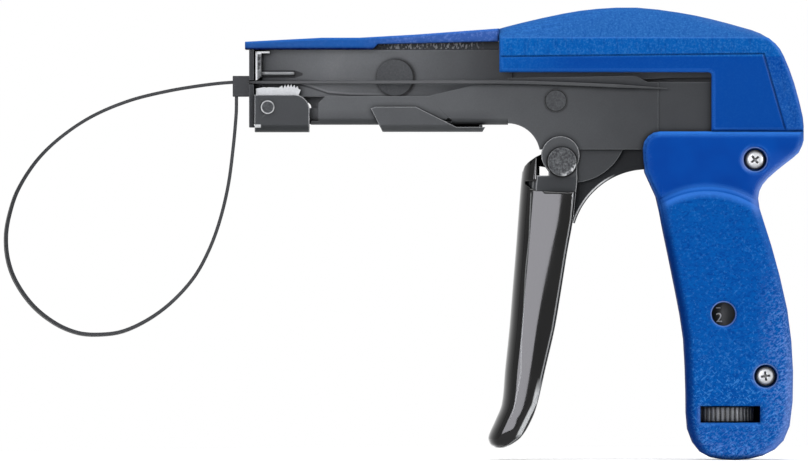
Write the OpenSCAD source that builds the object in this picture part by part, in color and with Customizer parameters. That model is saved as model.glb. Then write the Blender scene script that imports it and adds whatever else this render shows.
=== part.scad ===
// Pistol-grip tool that pulls a cable tie tight, holds the pull at a set force and trims the tail.
// X runs back along the barrel from the nose, Y across the tool, Z up; the origin is in the tie slot.

/* [Frame] */
// Outer width of the pressed steel frame
frame_w = 16; // [15:0.5:18]
// Thickness of the pressed sheet steel
sheet = 1.2; // [1:0.1:1.5]
// Outer radius of the bends along the lower edges of the barrel
bend_r = 2.1; // [1.8:0.1:2.6]
// From the front of the nose to the front edge of the cover
barrel_l = 80.6; // [78:0.2:86]
// From the front of the nose to the back of the handle
tool_l = 178.6; // [176:0.2:184]
// Height of the barrel's top edge over the tie slot
barrel_top = 10.7; // [10.4:0.1:11.4]
// Depth of the barrel's underside below the tie slot
barrel_drop = 13.5; // [13:0.1:14.5]
// Depth of the near wall's cut-down edge below the tie slot
recess_drop = 4.35; // [3.8:0.05:4.8]

/* [Nose] */
// Thickness of the nose plate
nose_t = 1.5; // [1.2:0.1:1.5]
// Height of the slot that the strap is laid into
slot_h = 1.5; // [1.4:0.1:1.8]
// Length of the pawl carrier
carrier_l = 17.6; // [16:0.2:19]
// Radius of the pawl's pin
pawl_pin_r = 1.5; // [1.2:0.1:1.8]
// Number of teeth on the pawl
pawl_teeth = 5; // [3:1:7]
// Pitch of the pawl's teeth
tooth_pitch = 0.76; // [0.6:0.02:0.84]

/* [Cover] */
// Width of the blue top cover
cover_w = 21; // [20:0.5:22]
// Width of the strip along the top of the barrel
strip_w = 17; // [16:0.5:18]
// Wall thickness of the cover
cover_wall = 1.8; // [1.4:0.1:2.2]
// Height of the crest of the cover over the tie slot
cover_top = 24.3; // [23:0.1:27]
// Height of the cover's lower lip over the tie slot
lip_z = 3.35; // [3:0.05:3.8]

/* [Grip] */
// Width of the handle
grip_w = 25; // [24:0.5:28]
// Wall thickness of the handle shells
grip_wall = 2.3; // [1.8:0.1:2.6]
// Height of the handle from its flat top to its foot
grip_h = 105.6; // [104:0.2:110]
// Rounding of the handle's edges
grip_round = 2.8; // [2:0.1:3.2]
// Depth of the handle's flat top below the tie slot
grip_drop = 15.7; // [15:0.1:16]
// Radius of the heads of the handle screws
screw_head_r = 3.1; // [2.8:0.1:3.4]

/* [Trigger] */
// Distance of the trigger's pin behind the nose
trigger_pin_x = 100.8; // [100:0.1:101.5]
// Depth of the trigger's pin below the tie slot
trigger_pin_drop = 25.5; // [25:0.1:26]
// Radius of the trigger's pin
trigger_pin_r = 2.5; // [2:0.1:3]
// Height of the trigger from its top edge to its tip
trigger_h = 91.2; // [86:0.2:94]
// Thickness of the trigger's moulded sleeve
sleeve_t = 1.1; // [0.8:0.1:1.4]

/* [Linkage] */
// Radius of the pins of the drive linkage
link_pin_r = 2; // [1.8:0.1:2.2]
// Half width of the push link across its eyes
link_half_w = 2.8; // [2.4:0.1:2.8]
// Half the gap between the cheeks of the drive lever
lever_gap = 3; // [2.9:0.1:3.4]
// Thickness of each cheek of the drive lever
cheek_t = 1.4; // [1:0.1:1.6]
// Thickness of the pull bar
pull_bar_t = 3; // [2.4:0.1:3]

/* [Cutter] */
// Radius of the large pivot pin's head
cutter_head_r = 6.26; // [5.8:0.02:6.6]
// Radius of the cutter pivot's shank
cutter_shank_r = 3; // [2.5:0.1:3.4]
// Thickness of the cutter lever
cutter_lever_t = 4; // [3.4:0.1:4.2]
// Thickness of the blade
blade_t = 1.9; // [1.5:0.1:2]

/* [Tension] */
// Distance of the tension rod behind the nose
rod_x = 153.3; // [152.8:0.1:153.4]
// Radius of the tension rod
rod_r = 2.2; // [1.9:0.1:2.3]
// Radius of the adjusting knob
knob_r = 9.4; // [9:0.1:9.6]
// Height of the adjusting knob
knob_h = 4.6; // [4:0.1:4.8]
// Number of grip grooves round the knob
knob_grooves = 36; // [24:2:44]
// Outer radius of the tension sleeve that carries the setting marks
sleeve_r = 6.4; // [6:0.1:6.5]
// Wire diameter of the tension spring
spring_wire = 1.2; // [1:0.1:1.3]
// Number of turns of the tension spring
spring_turns = 9; // [6:1:11]
// Radius of the round window in the handle
window_r = 3.8; // [3.4:0.1:4.2]

/* [Tie] */
// Width of the cable tie's strap
tie_w = 3.6; // [2.5:0.1:3.6]
// Thickness of the cable tie's strap
tie_t = 1.05; // [0.9:0.05:1.2]

/* [Fits] */
// Radial clearance of a pin in a bore that turns on it
running = 0.05; // [0.02:0.01:0.08]
// Gap between pieces that slide past one another
gap = 0.2; // [0.15:0.05:0.3]
// Wider gap kept round curved pieces that move
curved_gap = 0.3; // [0.25:0.05:0.35]

/* [Hidden] */
$fn = 64;
over = 1;

// Depths across the tool
half_w = frame_w / 2;
wall_in = half_w - sheet;
guide_y0 = -1;
guide_y1 = guide_y0 + sheet;
tie_y = -3.4;
cover_half = cover_w / 2;
grip_half = grip_w / 2;
grip_in = grip_half - grip_wall;
carrier_in = half_w + gap;
carrier_out = carrier_in + 1;
carrier_sheet = carrier_out - carrier_in;

// Helpers for outlines
function unit(v) = v / norm(v);
function left_of(v) = [-v[1], v[0]];
function last(list) = list[len(list) - 1];
function turn(p, a) = [p[0] * cos(a) - p[1] * sin(a), p[0] * sin(a) + p[1] * cos(a)];

// Points of an arc round c from angle a0 to a1
function arc(c, r, a0, a1, steps) = [for (k = [0 : steps]) c + turn([r, 0], a0 + (a1 - a0) * k / steps)];

// Outline points from shares of a width and a height, counted from a corner
function shaped(corner, w, h, shares) = [for (s = shares) [corner[0] + s[0] * w, corner[1] + s[1] * h]];

// Smooth line through points, without its last point
function point_at(pts, i) = pts[max(0, min(len(pts) - 1, i))];
function blend(a, b, c, d, t) =
    (2 * b + (c - a) * t + (2 * a - 5 * b + 4 * c - d) * t * t + (3 * b - a - 3 * c + d) * t * t * t) / 2;
function smooth(pts, steps) = [
    for (i = [0 : len(pts) - 2], k = [0 : steps - 1])
        blend(point_at(pts, i - 1), pts[i], pts[i + 1], point_at(pts, i + 2), k / steps)
];

// Coordinates of a drawing seen from the side and from above
side_plan = [0, 2];
top_plan = [0, 1];

// Closed anticlockwise outline moved inwards by d
corner_share = 0.45;
function inset_point(before, p, after, d) =
    let (a = left_of(unit(p - before)), b = left_of(unit(after - p)), m = unit(a + b))
    p + m * d / max(m * a, corner_share);
function inset(pts, d) = let (n = len(pts)) [
    for (i = [0 : n - 1]) inset_point(pts[(i + n - 1) % n], pts[i], pts[(i + 1) % n], d)
];

// Side outline (X, Z) given thickness from y0 to y1
module across(y0, y1) translate([0, y1, 0]) rotate([90, 0, 0]) linear_extrude(height = y1 - y0) children();

// Cross-section (Y, Z) drawn out from x0 to x1
module along(x0, x1) translate([x0, 0, 0]) rotate([90, 0, 90]) linear_extrude(height = x1 - x0) children();

// Round bar across the tool
module pin(at, r, y0, y1) translate([at[0], y1, at[1]]) rotate([90, 0, 0]) cylinder(r = r, h = y1 - y0);

// Round bar along Z
module post(x, r, z0, z1) translate([x, 0, z0]) cylinder(r = r, h = z1 - z0);

// Block between two corners
module block(low, high) translate(low) cube(high - low);

// Flat bar with round ends, drawn in the side view
module strap_link(a, b, r) {
    side = left_of(unit(b - a)) * r;
    translate(a) circle(r);
    translate(b) circle(r);
    polygon([a - side, b - side, b + side, a + side]);
}

// Triangles of a flat anticlockwise outline, found by cutting off one ear after another
function area2(a, b, c) = (b[0] - a[0]) * (c[1] - a[1]) - (b[1] - a[1]) * (c[0] - a[0]);
function in_ear(p, a, b, c) = area2(a, b, p) >= 0 && area2(b, c, p) >= 0 && area2(c, a, p) >= 0;
function around(left, i) = let (n = len(left)) [left[(i + n - 1) % n], left[i], left[(i + 1) % n]];
function is_ear(pts, left, t) = let (
        a = pts[t[0]],
        b = pts[t[1]],
        c = pts[t[2]],
        inside = [for (j = left) if (len(search(j, t)) == 0 && in_ear(pts[j], a, b, c)) j]
    ) area2(a, b, c) > 0 && len(inside) == 0;
function first_ear(pts, left, i = 0) =
    i >= len(left) ? 0 : is_ear(pts, left, around(left, i)) ? i : first_ear(pts, left, i + 1);
function ears(pts, left) = len(left) < 4 ? [left] : let (i = first_ear(pts, left))
    concat([around(left, i)], ears(pts, [for (k = [0 : len(left) - 1]) if (k != i) left[k]]));

// Solid through rings that turn anticlockwise when seen along the way they are stacked; plan picks the two
// coordinates in which the end rings are flat
module skin(rings, plan) {
    n = len(rings[0]);
    m = len(rings);
    corners = [for (i = [0 : n - 1]) i];
    first_cap = ears([for (p = rings[0]) [p[plan[0]], p[plan[1]]]], corners);
    last_cap = ears([for (p = last(rings)) [p[plan[0]], p[plan[1]]]], corners);
    walls = [
        for (k = [0 : m - 2], i = [0 : n - 1])
            let (a = k * n + i, b = k * n + (i + 1) % n, c = a + n, d = b + n) each [[a, b, d], [a, d, c]]
    ];
    polyhedron(
        points = [for (ring = rings) each ring],
        faces = concat(
            [for (t = first_cap) [t[2], t[1], t[0]]],
            walls,
            [for (t = last_cap) [for (i = t) (m - 1) * n + i]]
        ),
        convexity = 8
    );
}

// Rings of a slab with rounded rims from y = -half to y = half
rim_steps = 4;
function rim(k) = 90 * k / rim_steps;
function rim_in(r, k) = r * (1 - sin(rim(k)));
function rim_out(r, k) = r * (1 - cos(rim(k)));
function ring_at(pts, y) = [for (p = pts) [p[0], y, p[1]]];
function near_rims(pts, half, r) = [
    for (k = [0 : rim_steps]) ring_at(inset(pts, rim_in(r, k)), rim_out(r, k) - half)
];
function far_rims(pts, half, r) = [
    for (k = [rim_steps : -1 : 0]) ring_at(inset(pts, rim_in(r, k)), half - rim_out(r, k))
];

// Pressed U section open at the top, as a (Y, Z) drawing
module u_section(half, bottom, top, t, r) difference() {
    u_outline(half, bottom, top, r);
    u_outline(half - t, bottom + t, top + over, r - t);
}
module u_outline(half, bottom, top, r) {
    translate([-half, bottom + r]) square([2 * half, top - bottom - r]);
    translate([r - half, bottom]) square([2 * (half - r), r + over]);
    for (side = [-1, 1]) translate([side * (half - r), bottom + r]) circle(r);
}

// Helical wire round the Z axis, from z0 to z1, in straight stretches
turn_sides = 8;
wire_sides = 6;
module coil(r, wire, z0, z1, turns) {
    steps = turn_sides * turns;
    function ring(k) = let (a = 360 * k / turn_sides, z = z0 + wire / 2 + (z1 - z0 - wire) * k / steps) [
        for (j = [0 : wire_sides - 1])
            let (b = 360 * j / wire_sides, q = r + wire / 2 * cos(b))
            [q * cos(a), q * sin(a), z + wire / 2 * sin(b)]
    ];
    skin([for (k = [0 : steps]) ring(k)], side_plan);
}

// Frame walls
arm_x = 22.4;
arm_nib = 2.2;
ramp_x0 = 57.6;
ramp_x1 = 73.1;
strap_under = -0.7;
belly_at = [83.4, -23.5];
belly_r = 10.5;
heel_z = -21.5;
tab_x = 124.3;
tab_z0 = 1.5;
tab_z1 = 2.2;
tab_slope = 4.1;
step_z = 0.2;
back_x = 165;
shoulder_z = -27;
neck_z = -34;
leg_x0 = 140.5;
leg_x1 = 160;
leg_z = -60;
far_top = 9;
strip_step_x = 41.5;
floor_x = 19.9;
peep_at = [64.3, -12.3];
peep_r = 1;
plate_end_x = 131.8;
plate_step = 0.35;

// Heights in the handle, counted from its flat top and its foot
foot_z = -grip_drop - grip_h;
slot_x = [145.3, 164.5];
slot_lift = 11.8;
slot_open = 5.4;
slot_z = [foot_z + slot_lift, foot_z + slot_lift + slot_open];
seat_z = [-56, -53, -50];
cup_travel = 12.5;
cup_top = seat_z[0] - cup_travel;
screw_x = [162.9, 166.3];
screw_drop = 9.1;
screw_lift = 26.8;
screw_at = [[screw_x[0], -grip_drop - screw_drop], [screw_x[1], foot_z + screw_lift]];

// Travel of the pull bar and the pawl's carrier at full trigger
stroke = 12.2;
spring_tab_x = 75;
function bore_r(r) = r + running;

// Pins and pivots in the side view
trigger_at = [trigger_pin_x, -trigger_pin_drop];
rivet_at = [98.8, -5.8];
rivet_r = 2;
rivet_head_r = 3.7;
link_at = [98, -43.5];
lever_link_at = [131, -25];
fulcrum_at = [143, -55];
pull_at = [136.5, -9.5];
pawl_at = [6, -7.9];
cutter_at = [47.3, 1.6];
boss_r = 4.6;
head_t = 0.9;

// Slack of the open joint between the push link and the drive lever
open_slack = 0.7;

module rear_lower_edge() polygon([
    [belly_at[0], step_z], [back_x, step_z], [back_x, shoulder_z], [leg_x1, neck_z], [leg_x1, leg_z],
    [leg_x0, leg_z], [mouth_x + sheet, heel_z], [belly_at[0], heel_z]
]);

module near_top() polygon([
    [belly_at[0], step_z - over], [belly_at[0], tab_z0], [tab_x, tab_z1], [tab_x + tab_slope, step_z],
    [tab_x + tab_slope, step_z - over]
]);

module near_wall() difference() {
    union() {
        rear_lower_edge();
        near_top();
        polygon([
            [arm_x, -barrel_drop], [arm_x, -recess_drop - arm_nib], [arm_x + arm_nib, -recess_drop],
            [ramp_x0, -recess_drop], [ramp_x1, strap_under], [belly_at[0], strap_under],
            [belly_at[0], -barrel_drop]
        ]);
    }
    translate(belly_at) circle(belly_r);
}

module far_wall() difference() {
    union() {
        rear_lower_edge();
        polygon([
            [nose_t, -barrel_drop], [nose_t, barrel_top], [strip_step_x - strip_step, barrel_top],
            [strip_step_x, barrel_top + strip_step], [barrel_l, barrel_top + strip_step + strip_tail],
            [barrel_l, far_top], [back_x, far_top], [back_x, step_z - over], [belly_at[0], step_z - over],
            [belly_at[0], -barrel_drop]
        ]);
    }
    translate(belly_at) circle(belly_r);
    strap_link(pawl_at, pawl_at + [stroke, 0], pawl_pin_r + gap);
}

// Rounds the barrel's lower edges as far back as its floor runs
module barrel_section() u_outline(half_w, -barrel_drop, cover_top, bend_r);

module frame_channel() color([0.27, 0.28, 0.29]) difference() {
    union() {
        intersection() {
            union() {
                across(-half_w, -wall_in) near_wall();
                across(wall_in, half_w) far_wall();
                block([floor_x, -half_w, -barrel_drop], [belly_at[0], half_w, sheet - barrel_drop]);
            }
            union() {
                along(0, belly_at[0]) barrel_section();
                block([belly_at[0], -half_w, leg_z], [back_x, half_w, far_top]);
            }
        }
        block(
            [spring_tab_x, lug_y0, -barrel_drop + sheet / 2],
            [spring_tab_x + sheet, wall_in + sheet / 2, bar_z1 + sheet]
        );
    }
    pin(rivet_at, bore_r(rivet_r), -half_w - over, half_w + over);
    pin(trigger_at, bore_r(trigger_pin_r), -half_w - over, half_w + over);
    pin(fulcrum_at, bore_r(link_pin_r), -half_w - over, half_w + over);
    pin(cutter_at, bore_r(cutter_shank_r), 0, half_w + over);
    pin(screw_at[0], boss_r + gap, -half_w - over, half_w + over);
    pin(peep_at, peep_r, -half_w - over, -wall_in + over);
    block([plate_end_x, -half_w - over, throat_z], [back_x + over, plate_step - half_w, tab_z0]);
}

// Nose plate with the slot for the strap and a small lip at its foot
nose_foot = 0.9;
slot_end_y = 0.6;
tie_z = 0.15;
lip_x = 3.7;
lip_t = 0.6;
module nose_plate() color([0.25, 0.25, 0.26]) difference() {
    union() {
        block([0, -half_w, -barrel_drop - nose_foot], [nose_t, half_w, barrel_top]);
        block(
            [nose_t, -wall_in, -barrel_drop - nose_foot],
            [lip_x, wall_in, -barrel_drop - nose_foot + lip_t]
        );
    }
    block([-over, -half_w - over, tie_z - slot_h / 2], [nose_t + over, slot_end_y, tie_z + slot_h / 2]);
}

// Wall behind the strap, let in between the frame's walls
guide_x = 4.15;
guide_tail = 4;
guide_foot = 0.15;
module tie_guide_plate() color([0.3, 0.3, 0.31]) difference() {
    block([guide_x, guide_y0, -recess_drop - guide_foot], [barrel_l + guide_tail, guide_y1, barrel_top]);
    pin(cutter_at, bore_r(cutter_shank_r), guide_y0 - over, guide_y1 + over);
}

// Small round bar that keeps the strap down behind the nose
guide_rod_r = 0.7;
guide_rod_z = 2.9;
guide_rod_end = 14.6;
module guide_rod() color([0.4, 0.4, 0.42]) translate([nose_t, tie_y, guide_rod_z]) rotate([0, 90, 0]) {
    cylinder(r = guide_rod_r, h = guide_rod_end - nose_t - guide_rod_r);
    translate([0, 0, guide_rod_end - nose_t - guide_rod_r]) sphere(guide_rod_r);
}

// Clip pressed round the underside of the barrel
clip_z = -15.8;
clip_top = -7.8;
clip_x = [39.2, 40.8, 43, 53.7, 66.8, 75.2, 76.1];
clip_t = 1;
clip_foot = 1.5;
clip_bend = 2.5;
module clip_outline() polygon([
    [clip_x[0], clip_top - clip_t / 2], [clip_x[1], clip_top], [clip_x[3], clip_top],
    [clip_x[4], clip_z + clip_foot], [clip_x[6], clip_z + clip_foot],
    [clip_x[5], clip_z], [clip_x[2], clip_z]
]);
module saddle_clip() color([0.28, 0.29, 0.3]) {
    intersection() {
        along(clip_x[0], clip_x[6]) u_section(half_w + clip_t, clip_z, clip_top, clip_t, clip_bend);
        across(-half_w - clip_t, half_w + clip_t) clip_outline();
    }
    block([clip_x[5] - clip_t, -wall_in, clip_z + clip_t / 2], [clip_x[5], wall_in, -barrel_drop]);
}

// Bracket that doubles the side walls round the trigger's pin
bracket_at = [104.1, -14.5];
bracket_r = 17.7;
bracket_x0 = 96.8;
bracket_top = -12.4;
bracket_t = 1.2;
module bracket_window(top, margin) {
    low = [bracket_x0 - margin, bracket_at[1] - bracket_r - margin];
    translate(low) square([2 * (bracket_r + margin), top - low[1]]);
}
module trigger_bracket() color([0.25, 0.26, 0.27]) difference() {
    across(-wall_in, wall_in) intersection() {
        translate(bracket_at) circle(bracket_r);
        bracket_window(bracket_top, 0);
    }
    across(bracket_t - wall_in, wall_in - bracket_t) bracket_window(bracket_top - bracket_t, over);
    pin(trigger_at, bore_r(trigger_pin_r), -half_w, half_w);
}

// Blue strip along the top of the barrel
strip_tip = 1.35;
strip_shares = [[1, 1], [0.668, 0.706], [0.45, 0.559], [0.305, 0.559], [0, 0.368], [0, 0]];
strip_rise = 6.8;
strip_step = 1.8;
strip_tail = 0.9;
strip_round = 0.9;
strip_skin = 1.3;
strip_top = shaped([-strip_tip, barrel_top], barrel_l + strip_tip, strip_rise, strip_shares);
strip_outline = concat(strip_top, [
    [strip_step_x - strip_step, barrel_top], [strip_step_x, barrel_top + strip_step],
    [barrel_l, barrel_top + strip_step + strip_tail]
]);
module barrel_strip() color([0.05, 0.25, 0.62]) difference() {
    skin(
        concat(
            near_rims(strip_outline, strip_w / 2, strip_round),
            far_rims(strip_outline, strip_w / 2, strip_round)
        ),
        side_plan
    );
    across(sheet - half_w, wall_in - sheet) polygon([
        [2 * nose_t, barrel_top - over], [2 * nose_t, strip_top[4][1] - strip_skin],
        strip_top[3] - [0, strip_skin], strip_top[2] - [0, strip_skin], strip_top[1] - [0, strip_skin],
        [barrel_l - strip_skin, strip_top[0][1] - 2 * strip_skin],
        [barrel_l - strip_skin, barrel_top - over]
    ]);
}

// Blue cover with a crowned top over the drive
cover_shares = [
    [0.997, -0.685], [0.969, -0.169], [0.935, 0.246], [0.907, 0.442], [0.859, 0.604], [0.797, 0.699],
    [0.694, 0.828], [0.591, 0.924], [0.453, 1], [0.322, 0.981], [0.212, 0.909], [0.074, 0.766], [0, 0.675]
];
inner_edge_x = 148.9;
inner_edge_r = 1;
ridge_z = 14.4;
cover_round = 1.2;
cover_slack = 0.15;
crown_share = 0.3;
cover_size = [tool_l - barrel_l, cover_top - lip_z];
cover_line = concat(
    [[tool_l, -grip_drop]], shaped([barrel_l, lip_z], cover_size[0], cover_size[1], cover_shares)
);
cover_back = smooth(cover_line, 2);
cover_outline = concat(
    cover_back,
    [last(cover_line), [barrel_l, lip_z]],
    arc([inner_edge_x - inner_edge_r, lip_z - inner_edge_r], inner_edge_r, 90, 0, 3),
    [[inner_edge_x, -grip_drop]]
);
function crowned(p, share) = [p[0], min(p[1], ridge_z) + max(0, p[1] - ridge_z) * share];
seam_z = [8.2, 9.1];
seam_x = [165.5, 172.9];
seam_w = 0.5;
seam_depth = 0.35;
module seam() polygon([
    [barrel_l - over, seam_z[0]], [seam_x[0], seam_z[1]], [seam_x[1], -grip_drop - over],
    [seam_x[1] + seam_w, -grip_drop - over], [seam_x[0] + seam_w, seam_z[1] + seam_w],
    [barrel_l - over, seam_z[0] + seam_w]
]);
crown_steps = 6;
crown_half = cover_half - cover_round;
function crown_y(k) = -crown_half + 2 * crown_half * k / (2 * crown_steps);
function crown_at(y) = 1 - pow(y / cover_half, 2);
function cover_ring(y, inward) =
    ring_at([for (p = inset(cover_outline, inward)) crowned(p, crown_at(y))], y);
function cover_rim(k, side) =
    cover_ring(side * (cover_half - rim_out(cover_round, k)), rim_in(cover_round, k));
cover_rings = concat(
    [for (k = [0 : rim_steps - 1]) cover_rim(k, -1)],
    [for (k = [0 : 2 * crown_steps]) cover_ring(crown_y(k), 0)],
    [for (k = [rim_steps - 1 : -1 : 0]) cover_rim(k, 1)]
);
module top_cover() color([0.03, 0.3, 0.65]) difference() {
    skin(cover_rings, side_plan);
    across(-half_w - cover_slack, half_w + cover_slack) polygon(concat(
        [[barrel_l - over, -grip_drop - over], [tool_l - cover_wall, -grip_drop - over]],
        [for (p = inset(cover_back, cover_wall)) if (p[0] > barrel_l + over) crowned(p, crown_share)],
        [[barrel_l - over, ridge_z]]
    ));
    across(-cover_half - over, seam_depth - cover_half) seam();
    across(cover_half - seam_depth, cover_half + over) seam();
}

// Handle shells
mouth_x = 126.8;
grip_size = [tool_l - mouth_x, grip_h];
grip_corner_r = 5.5;
grip_corner_angle = 157.5;
grip_shares = [
    [0, -0.052], [0.014, -0.125], [0.083, -0.199], [0.127, -0.303], [0.203, -0.484], [0.255, -0.633],
    [0.27, -0.798], [0.28, -0.909], [0.357, -0.978], [0.486, -1], [0.66, -0.999], [0.82, -0.97],
    [0.913, -0.898], [0.934, -0.732], [0.898, -0.543], [0.799, -0.348], [0.726, -0.235], [0.724, -0.183],
    [0.776, -0.144], [0.882, -0.1], [0.969, -0.065], [1, -0.027]
];
grip_line = shaped([mouth_x, -grip_drop], grip_size[0], grip_size[1], grip_shares);
grip_outline = concat(
    [[tool_l, -grip_drop]],
    arc([mouth_x + grip_corner_r, -grip_drop - grip_corner_r], grip_corner_r, 90, grip_corner_angle, 3),
    smooth(grip_line, 2),
    [last(grip_line)]
);
grip_inner = inset(grip_outline, grip_wall);
palm_x = 147.5;
palm_drop = 47.6;
palm_at = [palm_x, -grip_drop - palm_drop];
palm_r = 30;
palm_bead = [[0, 0.8], [0.3, 0.4], [1, 0.12], [1.8, 0]];
mouth_drop = 31.8;
mouth_z = -grip_drop - mouth_drop;
mouth_back = 136;
throat_drop = 4.3;
throat_z = -grip_drop - throat_drop;
throat_back = 167;
screw_r = 1.6;
screw_recess_r = 3.7;
screw_recess = 3.4;
screw_head_t = 2;
screw_sink = 0.5;
screw_reach = 8;
shelf_t = 1.2;
guide_rib_x = 160.4;
guide_rib_y = [1.3, 2.6];
rib_lift = 1.9;
rib_over = 6.5;
guide_rib_z = [slot_z[1] + shelf_t + rib_lift, cup_top + rib_over];
window_x = 152.7;
window_drop = 6;
window_at = [window_x, cup_top - window_drop];

// One handle shell, drawn on the near side and mirrored for the far one
module grip_hollow() difference() {
    skin(concat(near_rims(grip_outline, grip_half, grip_round), [ring_at(grip_outline, 0)]), side_plan);
    across(-grip_in, over) polygon(grip_inner);
}
module grip_ribs() intersection() {
    across(-grip_in - grip_wall / 2, 0) polygon(inset(grip_outline, grip_wall / 2));
    union() {
        for (z = [slot_z[0] - shelf_t, slot_z[1]]) block([mouth_x, -grip_half, z], [tool_l, 0, z + shelf_t]);
        block([guide_rib_x, -guide_rib_y[1], guide_rib_z[0]], [tool_l, -guide_rib_y[0], guide_rib_z[1]]);
    }
}
module grip_throat() polygon([
    [mouth_x - over, mouth_z], [mouth_back, mouth_z], [mouth_back, throat_z], [throat_back, throat_z],
    [throat_back, -grip_drop + over], [mouth_x - over, -grip_drop + over]
]);
// What is cut off over the arched shoulder of the palm part, in rings that round its edge
module over_palm() for (k = [1 : len(palm_bead) - 1]) difference() {
    block(
        [mouth_x - over, palm_bead[k][1] - grip_half - (k == len(palm_bead) - 1 ? over : 0), palm_at[1]],
        [tool_l + over, palm_bead[k - 1][1] - grip_half, -grip_drop + over]
    );
    translate([palm_at[0], palm_bead[k - 1][1] - grip_half, palm_at[1]]) rotate([90, 0, 0]) cylinder(
        r1 = palm_r - palm_bead[k - 1][0],
        r2 = palm_r - palm_bead[k][0],
        h = palm_bead[k - 1][1] - palm_bead[k][1]
    );
}
module grip_shell() difference() {
    union() {
        grip_hollow();
        for (at = screw_at) pin(at, boss_r, -grip_in - grip_wall / 2, 0);
        grip_ribs();
    }
    across(-half_w - cover_slack, over) grip_throat();
    block([slot_x[0], -grip_half - over, slot_z[0]], [slot_x[1], -grip_in + over, slot_z[1]]);
    post(rod_x, rod_r + curved_gap, slot_z[0] - shelf_t - over, slot_z[1] + shelf_t + over);
    over_palm();
}

module grip_left() color([0.03, 0.28, 0.62]) difference() {
    grip_shell();
    for (at = screw_at) {
        pin(at, bore_r(screw_r), -grip_half - over, over);
        pin(at, screw_recess_r, -grip_half - over, screw_recess - grip_half);
    }
    pin(window_at, window_r, -grip_half - over, -grip_in + over);
}

module grip_right() color([0.03, 0.26, 0.58]) difference() {
    mirror([0, 1, 0]) grip_shell();
    for (at = screw_at) pin(at, bore_r(screw_r), -over, screw_reach);
}

module grip_screws() color([0.8, 0.8, 0.82]) for (at = screw_at) {
    pin(at, screw_head_r, screw_recess - grip_half - screw_head_t, screw_recess - grip_half);
    pin(at, screw_r, screw_recess - grip_half, screw_reach - screw_sink);
}

// Pins held by the frame
cutter_head_t = 0.6;
module cutter_pivot_pin() color([0.3, 0.31, 0.32]) {
    pin(cutter_at, cutter_head_r, guide_y0 - cutter_head_t, guide_y0);
    pin(cutter_at, cutter_shank_r, guide_y0, half_w + head_t);
}

module riveted_pin(at, r, head_r, half, t) {
    pin(at, r, -half, half);
    pin(at, head_r, -half - t, -half);
    pin(at, head_r, half, half + t);
}

rivet_head_t = 0.3;
module frame_rivet() color([0.24, 0.25, 0.26])
    riveted_pin(rivet_at, rivet_r, rivet_head_r, half_w, rivet_head_t);

trigger_head_r = 4.6;
trigger_head_t = 1.3;
module trigger_pin() color([0.2, 0.2, 0.21])
    riveted_pin(trigger_at, trigger_pin_r, trigger_head_r, ear_out + running, trigger_head_t);

fulcrum_head_r = 3.2;
module fulcrum_pin() color([0.3, 0.31, 0.32])
    riveted_pin(fulcrum_at, link_pin_r, fulcrum_head_r, half_w, head_t);

// Trigger: a pressed steel channel with two ears, inside a moulded sleeve
ear_in = half_w + gap;
arm_t = 1;
ear_out = ear_in + arm_t;
ear_at = [100.3, -23.4];
ear_r = 6.1;
arm_top = -29.9;
arm_tip = -66;
arm_neck_x = [96.6, 105.6];

// Levels of the trigger: height, front, back and half width, as shares
sleeve_shares = [
    [-0.04, 0.02, 1, 1], [0, 0, 1, 1], [0.067, -0.04, 0.983, 1], [0.184, -0.091, 0.92, 1],
    [0.3, -0.136, 0.807, 1], [0.425, -0.193, 0.699, 1], [0.557, -0.25, 0.585, 0.99],
    [0.707, -0.33, 0.409, 0.96], [0.828, -0.392, 0.256, 0.9], [0.888, -0.5, 0.148, 0.84],
    [0.941, -0.63, -0.017, 0.74], [0.977, -0.625, -0.193, 0.6], [1, -0.517, -0.33, 0.4]
];
sleeve_depth = 17.6;
sleeve_x = 88.3;
sleeve_z = -26.2;
sleeve_half = ear_out + running + sleeve_t;
sleeve_nose_share = 0.44;
bow_steps = 5;
levels = [
    for (s = sleeve_shares)
        [sleeve_z - s[0] * trigger_h, sleeve_x + s[1] * sleeve_depth, sleeve_x + s[2] * sleeve_depth, s[3]]
];
function level_at(z) = [for (i = [0 : 3]) i == 0 ? z : lookup(z, [for (l = levels) [l[0], l[i]]])];

// Rounded nose of a level, from one side to the other
function bow(x, half, depth, z, dir) = [
    for (k = [-bow_steps : bow_steps])
        let (a = 90 * dir * k / bow_steps) [x + depth * (1 - cos(a)), half * sin(a), z]
];

// U-shaped ring of a level, moved inwards by d and t thick
function channel_ring(level, d, t) = let (
        z = level[0],
        front = level[1] + d,
        back = level[2],
        half = level[3] * sleeve_half - d,
        nose = min(sleeve_nose_share * half, (back - front) / 2)
    ) concat(
        [[back, half, z]],
        bow(front, half, nose, z, -1),
        [[back, -half, z], [back, t - half, z]],
        bow(front + t, half - t, nose - t / 2, z, 1),
        [[back, half - t, z]]
    );

module arm_ear() {
    translate(ear_at) circle(ear_r);
    polygon([
        [arm_neck_x[0], ear_at[1]], [arm_neck_x[0], arm_top - over], [arm_neck_x[1], arm_top - over],
        [arm_neck_x[1], ear_at[1]]
    ]);
}
arm_levels = concat(
    [level_at(arm_top)], [for (l = levels) if (l[0] < arm_top && l[0] > arm_tip) l], [level_at(arm_tip)]
);
module trigger_arm() color([0.26, 0.26, 0.27]) difference() {
    union() {
        for (y = [-ear_out, ear_in]) across(y, y + arm_t) arm_ear();
        skin([for (l = arm_levels) channel_ring(l, sleeve_t + running, arm_t)], top_plan);
    }
    pin(trigger_at, bore_r(trigger_pin_r), -ear_out - over, ear_out + over);
    pin(link_at, bore_r(link_pin_r), -ear_out - over, ear_out + over);
}

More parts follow.
